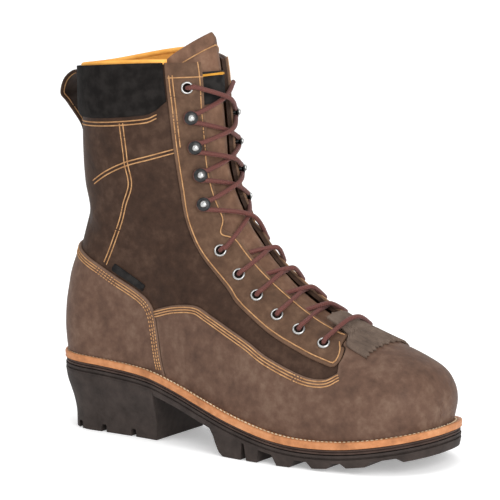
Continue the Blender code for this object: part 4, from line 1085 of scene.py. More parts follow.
    def panel(self, name: str, outline: np.ndarray, thick: float, rounding: float,
              finish: bpy.types.Material, slot: Slot, nodes: Sequence[str],
              side: Side | None = None, throat: bool = False, crown: float = 0.0,
              low: float = S.lay) -> bpy.types.Object:
        """Raised leather piece inside a side-view outline.

        Args:
            name: piece's name.
            outline: closed outline.
            thick: its thickness.
            rounding: width over which its edge is rounded.
            finish: material.
            slot: material slot.
            nodes: CAD nodes that it stands for.
            side: only this side, or both.
            throat: round the throat's edge too.
            crown: extra swell in its middle.
            low: clearance under it.

        Returns:
            The piece.
        """
        sheet = self.sheet
        edge = distance_in(np.column_stack([sheet.data["along"], sheet.data["up"]]), outline)
        if throat:
            edge = np.minimum(edge, sheet.data["throat"])
        part = Sheet(sheet.pos, sheet.nrm, sheet.tri, dict(sheet.data, edge=edge))
        if side is not None:
            part = part.kept(np.sign(part.mean("side")) == side.value)
        near = part.data["edge"][part.tri].max(1) > -0.002
        part = part.kept(near)
        levels = [0.0] + [rounding * k for k in (0.10, 0.35, 0.70, 1.0)]
        for level in levels:
            part = part.cut("edge", level)
        part = part.kept(part.mean("edge") > 1e-9)
        edge = np.clip(part.data["edge"], 0, None)
        share = np.clip(edge / rounding, 0, 1)
        high = low + thick * (0.25 + 0.75 * np.sqrt(1 - (1 - share) ** 2))
        swell = np.clip(edge / 0.014, 0, 1)
        high = high + crown * (1 - (1 - swell) ** 2)
        verts, tris, _ = thick_sheet(part, low - 0.0002, high)
        item = new_piece(name, verts, tris.tolist(), [finish], slot, nodes)
        rub = np.concatenate([np.exp(-(edge / 0.0013) ** 2) * 0.35, np.zeros(len(edge))])
        mark = item.data.attributes.new("rub", "FLOAT", "POINT")
        if len(item.data.vertices) == len(rub):
            mark.data.foreach_set("value", rub.astype(np.float32))
        return item


class Stitches:
    """Rows of thread on the boot's panels."""

    def __init__(self, form: BootForm) -> None:
        """Start with no stitches.

        Args:
            form: the boot's form.
        """
        self.form = form
        self.verts: list[np.ndarray] = []
        self.faces: list[tuple[int, ...]] = []
        self.count = 0

    def row(self, path: np.ndarray, out: np.ndarray, size: float = 0.0020, space: float = 0.0010,
            radius: float = 0.00042) -> None:
        """Sew along a path.

        Args:
            path: points on the surface.
            out: outward direction at each point.
            size: length of a stitch.
            space: gap between stitches.
            radius: half the thread's thickness.
        """
        both = even_path(np.column_stack([path, out]), (size + space) / 6)
        stride = 6
        rings = ((-0.5, 0.35, -0.5), (-0.36, 1.0, 0.15), (0.0, 1.12, 0.45), (0.36, 1.0, 0.15),
                 (0.5, 0.35, -0.5))
        for i in range(0, len(both) - stride, stride):
            start, end = both[i, :3], both[i + stride - 1, :3]
            middle = both[i + stride // 2, :3]
            up = both[i + stride // 2, 3:]
            up = up / np.linalg.norm(up)
            way = end - start
            if np.linalg.norm(way) < 1e-6:
                continue
            way = way / np.linalg.norm(way)
            across = np.cross(up, way)
            across /= np.linalg.norm(across)
            base = self.count
            for place, wide, lift in rings:
                for k in range(6):
                    turn = math.pi * k / 3
                    ring = across * math.cos(turn) + up * 0.85 * math.sin(turn)
                    self.verts.append(middle + way * place * size + up * lift * radius
                                      + radius * wide * ring)
            self.faces += tube_faces(len(rings), 6, base)
            self.faces.append(tuple(base + k for k in range(5, -1, -1)))
            self.faces.append(tuple(base + 24 + k for k in range(6)))
            self.count += 30

    def on_side(self, rows: np.ndarray, side: Side, height: float, **sizes: float) -> None:
        """Sew along a side-view line.

        Args:
            rows: side-view points in metres.
            side: which side.
            height: surface height over the form.
            sizes: stitch sizes.
        """
        line = even_path(np.asarray(rows, float), 0.002)
        keep = ((line[:, 1] > self.form.seat(line[:, 0]) + 0.002)
                & (line[:, 0] > self.form.back(line[:, 1]) + 0.0012))
        line = line[keep]
        if len(line) < 4:
            return
        out = self.form.normal(line[:, 0], line[:, 1], side)
        wave = self.form.relief(line[:, 0], line[:, 1], np.full(len(line), side.value))
        path = self.form.point(line[:, 0], line[:, 1], side) + out * (height + wave)[:, None]
        self.row(path, out, **sizes)

    def build(self, name: str, finish: bpy.types.Material, slot: Slot) -> bpy.types.Object:
        """Make the thread's mesh."""
        return new_piece(name, np.array(self.verts), self.faces, [finish], slot, angle=80.0)


class Assembly:
    """Part of the boot, made from its form and finishes."""

    def __init__(self, form: BootForm, finishes: Finishes) -> None:
        """Keep the form and the materials."""
        self.form, self.fin = form, finishes


class Upper(Assembly):
    """Quarters, lining and the raised panels sewn on them."""

    def __init__(self, form: BootForm, finishes: Finishes) -> None:
        """Keep the form and make its fine sheet."""
        super().__init__(form, finishes)
        self.skin = UpperSheet(form)

    def build(self) -> None:
        """Make the quarters with their lining."""
        sheet = self.skin.sheet.cut("throat", 0.0)
        sheet = sheet.kept(sheet.mean("throat") > 1e-9)
        rim = sheet.data["rim"]
        high = np.where(rim > 0.5, -0.0004, 0.0)
        verts, tris, kinds = thick_sheet(sheet, -S.wall, high)
        reach = np.tile(sheet.data["throat"], 2)[tris].mean(1)
        indices = np.where((kinds == 0) | (reach < S.facing), 0, 1)
        item = new_piece("quarters", verts, tris.tolist(), [self.fin.leather, self.fin.lining],
                         Slot.LEATHER, ["upper"], indices)
        item.data.attributes.new("rub", "FLOAT", "POINT")
        self._roll()

    def _roll(self) -> None:
        """Roll the lining over the collar's edge between the eyestays."""
        near, far = (self.skin.throat_rows[side][-1] for side in Side)
        step = 0.0020
        path = even_path(np.vstack([near, far[-2::-1]]), step)
        ends = round(S.roll_clear / step)
        path = path[ends:-ends]
        ahead = np.gradient(path, axis=0)
        out = np.cross(ahead, [0.0, 0.0, 1.0])
        out /= np.linalg.norm(out, axis=1)[:, None]
        out *= np.sign(((path - path.mean(axis=0)) * out).sum(axis=1))[:, None]
        middle = path - out * S.wall * 0.45 + (0.0, 0.0, 0.0005)
        sides, verts = 12, []
        for spot, way in zip(middle, out):
            for k in range(sides):
                turn = 2 * math.pi * k / sides
                verts.append(spot + S.roll * (way * 1.1 * math.cos(turn)
                                              + np.array([0.0, 0.0, 1.0]) * math.sin(turn)))
        faces = tube_faces(len(path), sides)
        faces += [tuple(range(sides))[::-1], tuple(range(len(verts) - sides, len(verts)))]
        item = new_piece("lining_roll", np.array(verts), faces, [self.fin.lining], Slot.LINING)
        turn_outward(item)

    def build_panels(self) -> None:
        """Make counter, vamp, eyestays, cuff, backstay and side tab."""
        low, high, front = -0.05, 0.32, 0.35
        counter = curve_through(side_points(COUNTER_EDGE))
        self.skin.panel("heel_counter_leather", np.vstack([[(-0.03, low)], [(-0.03, counter[0][1])], counter,
                                                           [(counter[-1][0], low)]]),
                        S.overlay, S.edge_round, self.fin.vamp, Slot.RAISED, ["heel_counter"])
        rear = curve_through(side_points(STAY_REAR))
        nose = curve_through(side_points(STAY_REAR[-2:] + STAY_NOSE))[12:]
        stay = np.vstack([rear, nose[1:]])
        behind = set_off(counter, 2 * S.gap)
        top_edge = curve_through(side_points(VAMP_EDGE))
        low_part = behind[behind[:, 1] < top_edge[0][1]][::-1]
        before = set_off(nose, -2 * S.gap)
        before = before[before[:, 1] > 0.268 * S.collar]
        vamp = np.vstack([low_part, top_edge, before, [(before[-1][0], high), (front, high), (front, low)]])
        self.skin.panel("vamp_leather_panel", vamp, S.overlay, S.edge_round, self.fin.vamp,
                        Slot.RAISED, ["vamp"])
        closed = np.vstack([stay, [(stay[-1][0], high), (stay[0][0], high)]])
        for side in Side:
            label = side.name.lower()
            self.skin.panel(f"eyestay_{label}_leather", closed, S.overlay, S.edge_round, self.fin.stay,
                            Slot.RAISED, [f"eyestay_{label}"], side=side, throat=True)
        edge = curve_through(side_points(CUFF_EDGE))
        limit = set_off(rear, -3 * S.gap)
        limit = limit[limit[:, 1] > 0.918 * S.collar][::-1]
        cuff = np.vstack([edge, limit, [(limit[-1][0], high), (edge[0][0], high)]])
        item = self.skin.panel("cuff_suede", cuff, S.cuff - 0.0008, 0.0045, self.fin.suede, Slot.SUEDE,
                               ["collar_cuff"], crown=0.0016)
        self._backstay()
        tab = side_points(TAB_CORNERS)
        self.skin.panel("side_tab_cloth", tab, 0.0009, 0.0006, self.fin.tab, Slot.TAB, ["side_tab"],
                        side=Side.LATERAL)

    def _backstay(self) -> None:
        """Make the strip down the back from cuff to counter."""
        sheet = self.skin.sheet
        half = S.backstay_half - np.abs(sheet.pos[:, 1])
        up = sheet.data["up"]
        span = np.minimum(up - 0.5353 * S.collar, 0.866 * S.collar - 0.0006 - up)
        behind = 0.06 - sheet.data["along"]
        edge = np.minimum(np.minimum(half, span), behind)
        part = Sheet(sheet.pos, sheet.nrm, sheet.tri, dict(sheet.data, edge=edge))
        part = part.kept(part.data["edge"][part.tri].max(1) > -0.003)
        for level in (0.0, 0.0004, S.edge_round):
            part = part.cut("edge", level)
        part = part.kept(part.mean("edge") > 1e-9)
        share = np.clip(part.data["edge"] / S.edge_round, 0, 1)
        verts, tris, _ = thick_sheet(part, S.lay - 0.0002,
                                     S.lay + S.overlay * (0.3 + 0.7 * np.sqrt(1 - (1 - share) ** 2)))
        new_piece("backstay_leather", verts, tris.tolist(), [self.fin.vamp], Slot.RAISED, ["backstay"])

    def sew(self) -> Stitches:
        """Sew the panels' seams.

        Returns:
            The stitches.
        """
        thread = Stitches(self.form)
        counter = curve_through(side_points(COUNTER_EDGE))
        vamp = curve_through(side_points(VAMP_EDGE))
        rear = curve_through(side_points(STAY_REAR))
        cuff = curve_through(side_points(CUFF_EDGE))
        upright = curve_through(side_points(SEAM_UPRIGHT))
        slant = curve_through(side_points(SEAM_SLANT))
        nose = curve_through(side_points(STAY_REAR[-2:] + STAY_NOSE[:4]))[12:]
        for side in Side:
            for inset in (0.0018, 0.0038, 0.0058):
                thread.on_side(set_off(counter, -inset), side, TOP)
            for inset in (0.0016, 0.0034, 0.0052):
                thread.on_side(set_off(vamp, -inset), side, TOP)
            stay = set_off(rear, 0.0022)
            thread.on_side(stay[(stay[:, 1] < 1.0 * S.collar)], side, TOP)
            upper = set_off(rear, 0.0042)
            thread.on_side(upper[(upper[:, 1] > 0.79 * S.collar) & (upper[:, 1] < 1.0 * S.collar)], side, TOP)
            thread.on_side(set_off(nose, 0.0022), side, TOP)
            for drop in (0.0030, 0.0056):
                thread.on_side(cuff - (0, drop), side, 0.0)
            for offset in (-0.0013, 0.0013):
                thread.on_side(set_off(upright, offset), side, 0.0)
                thread.on_side(set_off(slant, offset), side, 0.0)
            thread.on_side(side_points([(0.336, 0.984), (0.360, 0.985), (0.392, 0.986)]), side, TOP)
            self._throat_row(thread, side)
        return thread

    def _throat_row(self, thread: Stitches, side: Side) -> None:
        """Sew beside the throat's edge and along the eyestay's top.

        Args:
            thread: the stitches.
            side: which side.
        """
        grid = self.skin.throat_rows[side]
        start = S.throat_start * self.form.whole + 0.006
        open_rows = np.nonzero(self.skin.lines["arc"] > start)[0]
        path = []
        for i in open_rows:
            row = grid[i]
            gone = np.concatenate([[0], np.cumsum(np.linalg.norm(np.diff(row, axis=0), axis=1))])
            inset = S.seam_in + float(self.form.flex(row[0, 2]))
            spot = np.array([np.interp(inset, gone, row[:, k]) for k in range(3)])
            path.append(spot)
        path = np.array(path)
        out = self.form.normal(path[:, 0] + S.setback, path[:, 2], side)
        thread.row(path + out * TOP, out)


class Tongue(Assembly):
    """Tongue, its plain label and the fringed kiltie."""

    def __init__(self, form: BootForm, finishes: Finishes) -> None:
        """Keep the form."""
        super().__init__(form, finishes)
        self.lines = form.sections(160)

    def crosswise(self, arc: float, reach: np.ndarray, side: Side) -> np.ndarray:
        """Points of the form at distances round from the ridge.

        Args:
            arc: place along the ridge.
            reach: distances.
            side: which side.

        Returns:
            The points.
        """
        top = self.form.ridge_at(np.array(arc))
        if arc <= self.form.whole:
            base = np.array([np.interp(arc, self.lines["arc"], self.lines["base"][:, k]) for k in (0, 1)])
        else:
            base = np.array([float(self.form.back(top[1])), top[1]])
        fine = np.linspace(0, 1, 160) ** 1.8
        line = top + fine[:, None] * (base - top)
        wide = self.form.half_width(line[:, 0], line[:, 1], side)
        wide[0] = 0.0
        pos = np.column_stack([line[:, 0] - S.setback, self.form.centre(line[:, 0]) + side.value * wide,
                               line[:, 1]])
        gone = np.concatenate([[0], np.cumsum(np.linalg.norm(np.diff(pos, axis=0), axis=1))])
        return np.column_stack([np.interp(reach, gone, pos[:, k]) for k in range(3)])

    def drape(self, name: str, rows: int, columns: int, place: Callable, low: Callable, high: Callable,
              finish: bpy.types.Material, slot: Slot, nodes: Sequence[str],
              keep: Callable | None = None) -> bpy.types.Object:
        """Closed sheet laid over the ridge.

        Args:
            name: piece's name.
            rows: steps along the ridge.
            columns: steps to each side.
            place: gives arc length and reach from row and column shares.
            low: inner offset from row and column shares.
            high: outer offset from row and column shares.
            finish: material.
            slot: material slot.
            nodes: CAD nodes that it stands for.
            keep: says which cells stay.

        Returns:
            The piece.
        """
        grid = np.zeros((rows + 1, 2 * columns + 1, 3))
        lows = np.zeros(grid.shape[:2])
        highs = np.zeros(grid.shape[:2])
        for i in range(rows + 1):
            t = i / rows
            for j in range(-columns, columns + 1):
                w = j / columns
                arc, reach = place(t, w)
                lows[i, j + columns] = low(t, w)
                highs[i, j + columns] = high(t, w)
                grid[i, j + columns] = (arc, reach, 0)
        pos = np.zeros_like(grid)
        for i in range(rows + 1):
            arcs = grid[i, :, 0]
            knots = np.linspace(arcs.min(), arcs.max(), 4) if np.ptp(arcs) > 1e-6 else arcs[:1]
            for side, part in ((Side.LATERAL, slice(0, columns + 1)), (Side.MEDIAL, slice(columns, None))):
                reach = np.abs(grid[i, part, 1])
                lanes = np.array([self.crosswise(float(k), reach, side) for k in knots])
                if len(knots) == 1:
                    pos[i, part] = lanes[0]
                else:
                    for n, arc in enumerate(arcs[part]):
                        for k in range(3):
                            pos[i, part.start + n, k] = np.interp(arc, knots, lanes[:, n, k])
        count = pos.shape[0] * pos.shape[1]
        number = np.arange(count).reshape(pos.shape[:2])
        a, b, c, d = number[:-1, :-1], number[1:, :-1], number[1:, 1:], number[:-1, 1:]
        mask = np.ones(a.shape, bool)
        if keep is not None:
            for i in range(rows):
                for j in range(2 * columns):
                    mask[i, j] = keep((i + 0.5) / rows, (j + 0.5) / columns - 1)
        tri = np.vstack([np.stack([a[mask], b[mask], c[mask]], 1), np.stack([a[mask], c[mask], d[mask]], 1)])
        flat = pos.reshape(-1, 3)
        nrm = UpperSheet._normals(flat, tri)
        if (nrm[:, 0] + nrm[:, 2]).sum() < 0:
            tri, nrm = tri[:, ::-1], -nrm
        sheet = Sheet(flat, nrm, tri, {"low": lows.ravel(), "high": highs.ravel()}).kept(
            np.ones(len(tri), bool))
        verts, tris, _ = thick_sheet(sheet, sheet.data["low"], sheet.data["high"])
        return new_piece(name, verts, tris.tolist(), [finish], slot, nodes)

    def tongue_place(self, t: float, w: float) -> tuple[float, float]:
        """Arc length and reach of a place on the tongue.

        Args:
            t: share from foot to top.
            w: share from middle to edge.

        Returns:
            Arc length and reach.
        """
        foot = S.throat_start * self.form.whole - S.tongue_tuck
        reach = S.tongue_root + (S.tongue_half - S.tongue_root) * t
        length = self.form.whole + S.tongue_rise - foot - S.tongue_drop * abs(w) ** 1.4
        return foot + t * length, w * reach

    def build(self) -> None:
        """Make the tongue with soft folds and its label."""
        base = -(S.wall + S.tongue_clear)

        def outer(t: float, w: float) -> float:
            """Height of the outer face.

            Args:
                t: share along the piece.
                w: share from middle to edge.

            Returns:
                The offset.
            """
            edge = min(t, 1 - t) * 0.22
            near = min(edge, (1 - abs(w)) * S.tongue_half, 0.0012) / 0.0012
            fold = 0.0005 * math.sin(34 * t + 3 * w) * math.exp(-((t - 0.45) / 0.25) ** 2)
            return base - S.tongue_thick * (1 - 0.75 * max(near, 0.0) ** 0.5) * 0.5 + min(fold, 0.0)

        self.drape("tongue_leather", 110, 26, self.tongue_place, lambda t, w: base - S.tongue_thick,
                   outer, self.fin.tongue, Slot.LEATHER, ["tongue"])
        tall, drop, half = 0.022, 0.006, 0.020

        def place(t: float, w: float) -> tuple[float, float]:
            """Arc length and reach of a place on the label."""
            return self.form.whole - drop - tall * (1 - t), w * half

        self.drape("tongue_label_cloth", 22, 16, place, lambda t, w: base + S.lay,
                   lambda t, w: base + S.lay + 0.0008, self.fin.tab, Slot.TAB, ["tongue_label"])

        def border(t: float, w: float) -> bool:
            """Say whether a cell is in the label's edging."""
            return 0.86 < t < 0.93

        self.drape("label_border", 44, 30, place, lambda t, w: base + S.lay + 0.0006,
                   lambda t, w: base + S.lay + 0.0011, self.fin.edging, Slot.TAB, [], border)

    def build_kiltie(self) -> None:
        """Make the kiltie with its zigzag fringe and fine slits."""
        fringe, root = self.form.arc_at(0.840), self.form.arc_at(0.703)
        flare = np.array([(0.00, 0.29), (0.40, 0.27), (0.55, 0.165), (0.75, 0.140), (1.00, 0.125)])
        rise, teeth = 0.0023, 16.0

        def place(t: float, w: float) -> tuple[float, float]:
            """Arc length and reach of a place on the kiltie.

            Args:
                t: share along the piece.
                w: share from middle to edge.

            Returns:
                Arc length and reach.
            """
            tooth = 0.0026 * (1 - abs(1 - (abs(w) * teeth) % 2)) if t < 0.5 else 0.0
            jitter = 0.0008 * math.sin(23 * w + 1.3)
            return fringe + (root - fringe) * t + (tooth + jitter) * (1 - t) ** 2, \
                w * float(smooth(flare, 1, np.array(t))) * S.ball

        def outer(t: float, w: float) -> float:
            """Height of the outer face.

            Args:
                t: share along the piece.
                w: share from middle to edge.

            Returns:
                The offset.
            """
            edge = min(t * 0.05, (1 - abs(w)) * 0.028, 0.001) / 0.001
            slit = 0.0005 * math.exp(-((((abs(w) * teeth) % 2) - 1) / 0.30) ** 2) * (t < 0.75)
            curl = 0.0004 * math.exp(-t / 0.08)
            return rise + 0.0016 * (0.45 + 0.55 * math.sqrt(max(edge, 0))) - slit + curl

        self.drape("kiltie_leather", 64, 52, place, lambda t, w: rise + 0.0003 * math.exp(-t / 0.08),
                   outer, self.fin.kiltie, Slot.RAISED, ["kiltie"])

    def sew(self, thread: Stitches) -> None:
        """Sew the row along the tongue's top.

        Args:
            thread: the stitches.
        """
        base = -(S.wall + S.tongue_clear) - 0.0003
        path = []
        for w in np.linspace(-0.96, 0.96, 61):
            arc, reach = self.tongue_place(1.0, float(w))
            side = Side.MEDIAL if w > 0 else Side.LATERAL
            path.append(self.crosswise(arc - 0.010, np.array([abs(reach)]), side)[0])
        path = np.array(path)
        ahead = np.gradient(path, axis=0)
        out = np.cross(ahead, np.array([-0.1, 0.0, 1.0]))
        out /= np.linalg.norm(out, axis=1)[:, None]
        out *= np.sign(out[:, 0:1] + 1e-9)
        thread.row(path + out * base, out)


class Hardware(Assembly):
    """Eyelets and speed hooks."""

    def seat(self, share: tuple[float, float], side: Side) -> tuple[np.ndarray, ...]:
        """Point and directions of a place on the eyestay.

        Args:
            share: shares of length and collar height.
            side: which side.

        Returns:
            Base point, two directions along the surface, outward direction.
        """
        along, up = np.array([share[0] * S.length]), np.array([share[1] * S.collar])
        out = self.form.normal(along, up, side)[0]
        wave = self.form.relief(along, up, np.array([side.value]))[0]
        base = self.form.point(along, up, side)[0] + out * (TOP + wave)
        ahead = np.cross(np.array([0.0, 0.0, 1.0]), out)
        ahead /= np.linalg.norm(ahead)
        return base, ahead, np.cross(out, ahead), out

    def lathe(self, name: str, profile: Rows, seat: tuple[np.ndarray, ...],
              finishes: Sequence[bpy.types.Material], marks: Sequence[int], slot: Slot,
              nodes: Sequence[str], sides: int = 28) -> bpy.types.Object:
        """Turned piece on the eyestay.

        Args:
            name: piece's name.
            profile: radius and height, bottom first.
            seat: base point and directions.
            finishes: materials.
            marks: material number of each profile step.
            slot: material slot.
            nodes: CAD nodes that it stands for.
            sides: steps round.

        Returns:
            The piece.
        """
        base, ahead, above, out = seat
        verts = []
        for radius, height in profile:
            for k in range(sides):
                turn = 2 * math.pi * k / sides
                verts.append(base + out * height + radius * (ahead * math.cos(turn) + above * math.sin(turn)))
        faces = tube_faces(len(profile), sides)
        index = [mark for mark in marks for _ in range(sides)]
        return new_piece(name, np.array(verts), faces, finishes, slot, nodes, index, angle=50.0)

    def build(self) -> None:
        """Make every eyelet and hook."""
        ring = [(0.0001, 0.0003), (0.0027, 0.0003), (0.0029, 0.0004), (0.0030, 0.0007), (0.0032, 0.0011),
                (0.0036, 0.0013), (0.0040, 0.0012), (0.0044, 0.0008), (0.0046, 0.0001), (0.0046, -0.0003)]
        # The first two bands of the ring close the hole with a near-black disc: painted shade in the eyelet's
        # hole.
        ring_marks = [1, 1, 0, 0, 0, 0, 0, 0, 0]
        hook = [(0.0044, -0.0004), (0.0044, 0.0004), (0.0040, 0.0007), (0.0020, 0.0008), (0.0017, 0.0014),
                (0.0017, 0.0040), (0.0032, 0.0043), (0.0047, 0.0045), (0.0049, 0.0049), (0.0046, 0.0054),
                (0.0032, 0.0059), (0.0020, 0.0060), (0.0024, 0.0066), (0.0024, 0.0072), (0.0020, 0.0078),
                (0.0012, 0.0082), (0.0001, 0.0084)]
        hook_marks = [1] * 11 + [0] * 5
        for side in Side:
            label = side.name.lower()
            for i, share in enumerate(EYELETS):
                self.lathe(f"eyelet_ring_{label}_{i + 1}", ring, self.seat(share, side),
                           [self.fin.steel, self.fin.dark], ring_marks, Slot.STEEL,
                           [f"eyelet_{label}_{i + 1}"])
            for i, share in enumerate(HOOKS):
                self.lathe(f"speed_hook_{label}_{i + 1}", hook, self.seat(share, side),
                           [self.fin.steel, self.fin.black], hook_marks, Slot.BLACK_METAL,
                           [f"hook_{label}_{i + 1}"])


class Lacing(Assembly):
    """One braided lace through eyelets and round hooks."""

    def __init__(self, form: BootForm, hardware: Hardware, finishes: Finishes) -> None:
        """Keep what the lace runs on.

        Args:
            form: the boot's form.
            hardware: eyelets and hooks.
            finishes: the materials.
        """
        super().__init__(form, finishes)
        self.hardware = hardware
        self.verts: list[np.ndarray] = []
        self.faces: list[tuple[int, ...]] = []
        self.uvs: list[tuple[float, float]] = []

    def throat_edge(self, share: tuple[float, float], side: Side, height: float) -> np.ndarray:
        """Point over the throat's edge nearest a place.

        Args:
            share: the place, in shares.
            side: which side.
            height: height over the outer form.

        Returns:
            The point.
        """
        base, _, _, _ = self.hardware.seat(share, side)
        arc = self.form.ridge[:, :2]
        spot = np.array([base[0] + S.setback, base[2]])
        near = np.argmin(np.linalg.norm(arc - spot, axis=1))
        top = arc[near]
        line = top + np.linspace(0, 1, 120)[:, None] * (spot - top)
        wide = self.form.half_width(line[:, 0], line[:, 1], side)
        t = float(np.interp(S.throat_half, np.maximum.accumulate(wide), np.linspace(0, 1, 120)))
        place = top + t * (spot - top)
        out = self.form.normal(place[:1], place[1:2], side)[0]
        return self.form.point(place[:1], place[1:2], side)[0] + out * height

    def crest(self, first: np.ndarray, second: np.ndarray, lift: float, t: float) -> np.ndarray:
        """Point over the ridge between two points.

        Args:
            first: one end.
            second: other end.
            lift: height over the ridge.
            t: share of the way.

        Returns:
            The point.
        """
        middle = first + (second - first) * t
        ridge = self.form.ridge[:, :2]
        near = int(np.clip(np.argmin(np.hypot(ridge[:, 0] - S.setback - middle[0], ridge[:, 1] - middle[2])),
                           6, len(ridge) - 7))
        ahead = ridge[near + 5] - ridge[near - 5]
        away = np.array([ahead[1], -ahead[0]]) / np.linalg.norm(ahead)
        if away[0] < 0:
            away = -away
        return np.array([ridge[near, 0] - S.setback + away[0] * lift, middle[1],
                         ridge[near, 1] + away[1] * lift])

    def strand(self, points: Sequence[np.ndarray], sides: int = 12) -> None:
        """Add a round strand through points.

        Args:
            points: the route's points.
            sides: steps round.
        """
        path = even_path(curve_through(points, 14), 0.0011)
        ahead = np.gradient(path, axis=0)
        ahead /= np.linalg.norm(ahead, axis=1)[:, None]
        up = np.cross(ahead[0], [0.3, 0.2, 0.9])
        base = len(self.verts)
        for i, (spot, way) in enumerate(zip(path, ahead)):
            up = up - way * (up @ way)
            up /= np.linalg.norm(up)
            across = np.cross(way, up)
            ends = min(i, len(path) - 1 - i)
            radius = S.lace * (0.55, 0.9, 1.0)[min(ends, 2)]
            for k in range(sides):
                turn = 2 * math.pi * k / sides
                self.verts.append(spot + radius * (up * math.cos(turn) + across * math.sin(turn)))
        self.faces += tube_faces(len(path), sides, base)
        for i in range(len(path) - 1):
            for k in range(sides):
                v0, v1 = i * 0.0011, (i + 1) * 0.0011
                self.uvs += [(k / sides, v0), ((k + 1) / sides, v0), ((k + 1) / sides, v1), (k / sides, v1)]
        self.faces.append(tuple(base + k for k in range(sides - 1, -1, -1)))
        self.faces.append(tuple(base + (len(path) - 1) * sides + k for k in range(sides)))
        self.uvs += [(0.0, 0.0)] * (2 * sides)

    def hole(self, share: tuple[float, float], side: Side) -> list[np.ndarray]:
        """Route out of an eyelet's hole towards the throat.

        Args:
            share: the eyelet's place.
            side: which side.

        Returns:
            Points from inside the hole to over the throat's edge.
        """
        base, _, _, out = self.hardware.seat(share, side)
        edge = self.throat_edge(share, side, TOP + S.lace + 0.0004)
        way = edge - base
        way -= out * (way @ out)
        way /= np.linalg.norm(way)
        return [base - out * 0.0008 - way * 0.0006, base + out * 0.0012 + way * 0.0004,
                base + out * 0.0028 + way * 0.0030, base + out * 0.0022 + way * 0.0062]

    def hook_turn(self, share: tuple[float, float], side: Side) -> list[np.ndarray]:
        """Route round a hook's stem, from below to above.

        Args:
            share: the hook's place.
            side: which side.

        Returns:
            The points.
        """
        base, ahead, above, out = self.hardware.seat(share, side)
        centre = base + out * 0.0026
        throat = ahead if (ahead[0] > 0) else -ahead
        ring = 0.0036
        return [centre - above * ring + throat * ring * t for t in (1.6, 0.4)] + [
            centre + ring * (-above * 0.75 - throat * 0.66), centre - ring * throat,
            centre + ring * (above * 0.75 - throat * 0.66)] + [
            centre + above * ring + throat * ring * t for t in (0.4, 1.6)]

    def build(self) -> None:
        """Run the lace through all stations."""
        low = list(EYELETS[1:])
        near_ends = [self.hole(low[-1], side) for side in Side]
        bar = near_ends[0] + [self.crest(near_ends[0][-1], near_ends[1][-1], 0.0062, t) for t in (0.35, 0.65)]
        self.strand(bar + near_ends[1][::-1])
        for i in range(len(low) - 2, 0, -1):
            for side in Side:
                other = Side.MEDIAL if side is Side.LATERAL else Side.LATERAL
                start = self.hole(low[i], side)
                between = tuple((a + b) / 2 for a, b in zip(low[i], low[i - 1]))
                edge = self.throat_edge(between, other, -0.0004)
                tuck = self.throat_edge(between, other, -0.0030)
                lift = -0.0014 if side is Side.LATERAL else 0.0021
                middle = [self.crest(start[-1], edge, lift, t) for t in (0.4, 0.6)]
                self.strand(start + middle + [edge, tuck + (tuck - middle[1]) * 0.10])
        stations = [EYELETS[0]] + list(HOOKS)
        for side in Side:
            other = Side.MEDIAL if side is Side.LATERAL else Side.LATERAL
            route = self.hole(low[0], side)
            here = other
            lift = -0.0012 if side is Side.LATERAL else 0.0023
            for share in stations[:0:-1]:
                turn = self.hook_turn(share, here)
                route.append(self.crest(route[-1], turn[0], lift, 0.5))
                route += turn
                here = Side.MEDIAL if here is Side.LATERAL else Side.LATERAL
            last = self.hole(stations[0], here)[::-1]
            route.append(self.crest(route[-1], last[0], lift, 0.5))
            self.strand(route + last)
        nodes = [f"lace_crossing_{i}" for i in range(1, 11)] + ["lace_bar"]
        item = new_piece("braided_lace", np.array(self.verts), self.faces, [self.fin.lace], Slot.LACE, nodes)
        layer = item.data.uv_layers.new(name="UVMap")
        if len(layer.data) == len(self.uvs):
            layer.data.foreach_set("uv", np.array(self.uvs, np.float32).ravel())


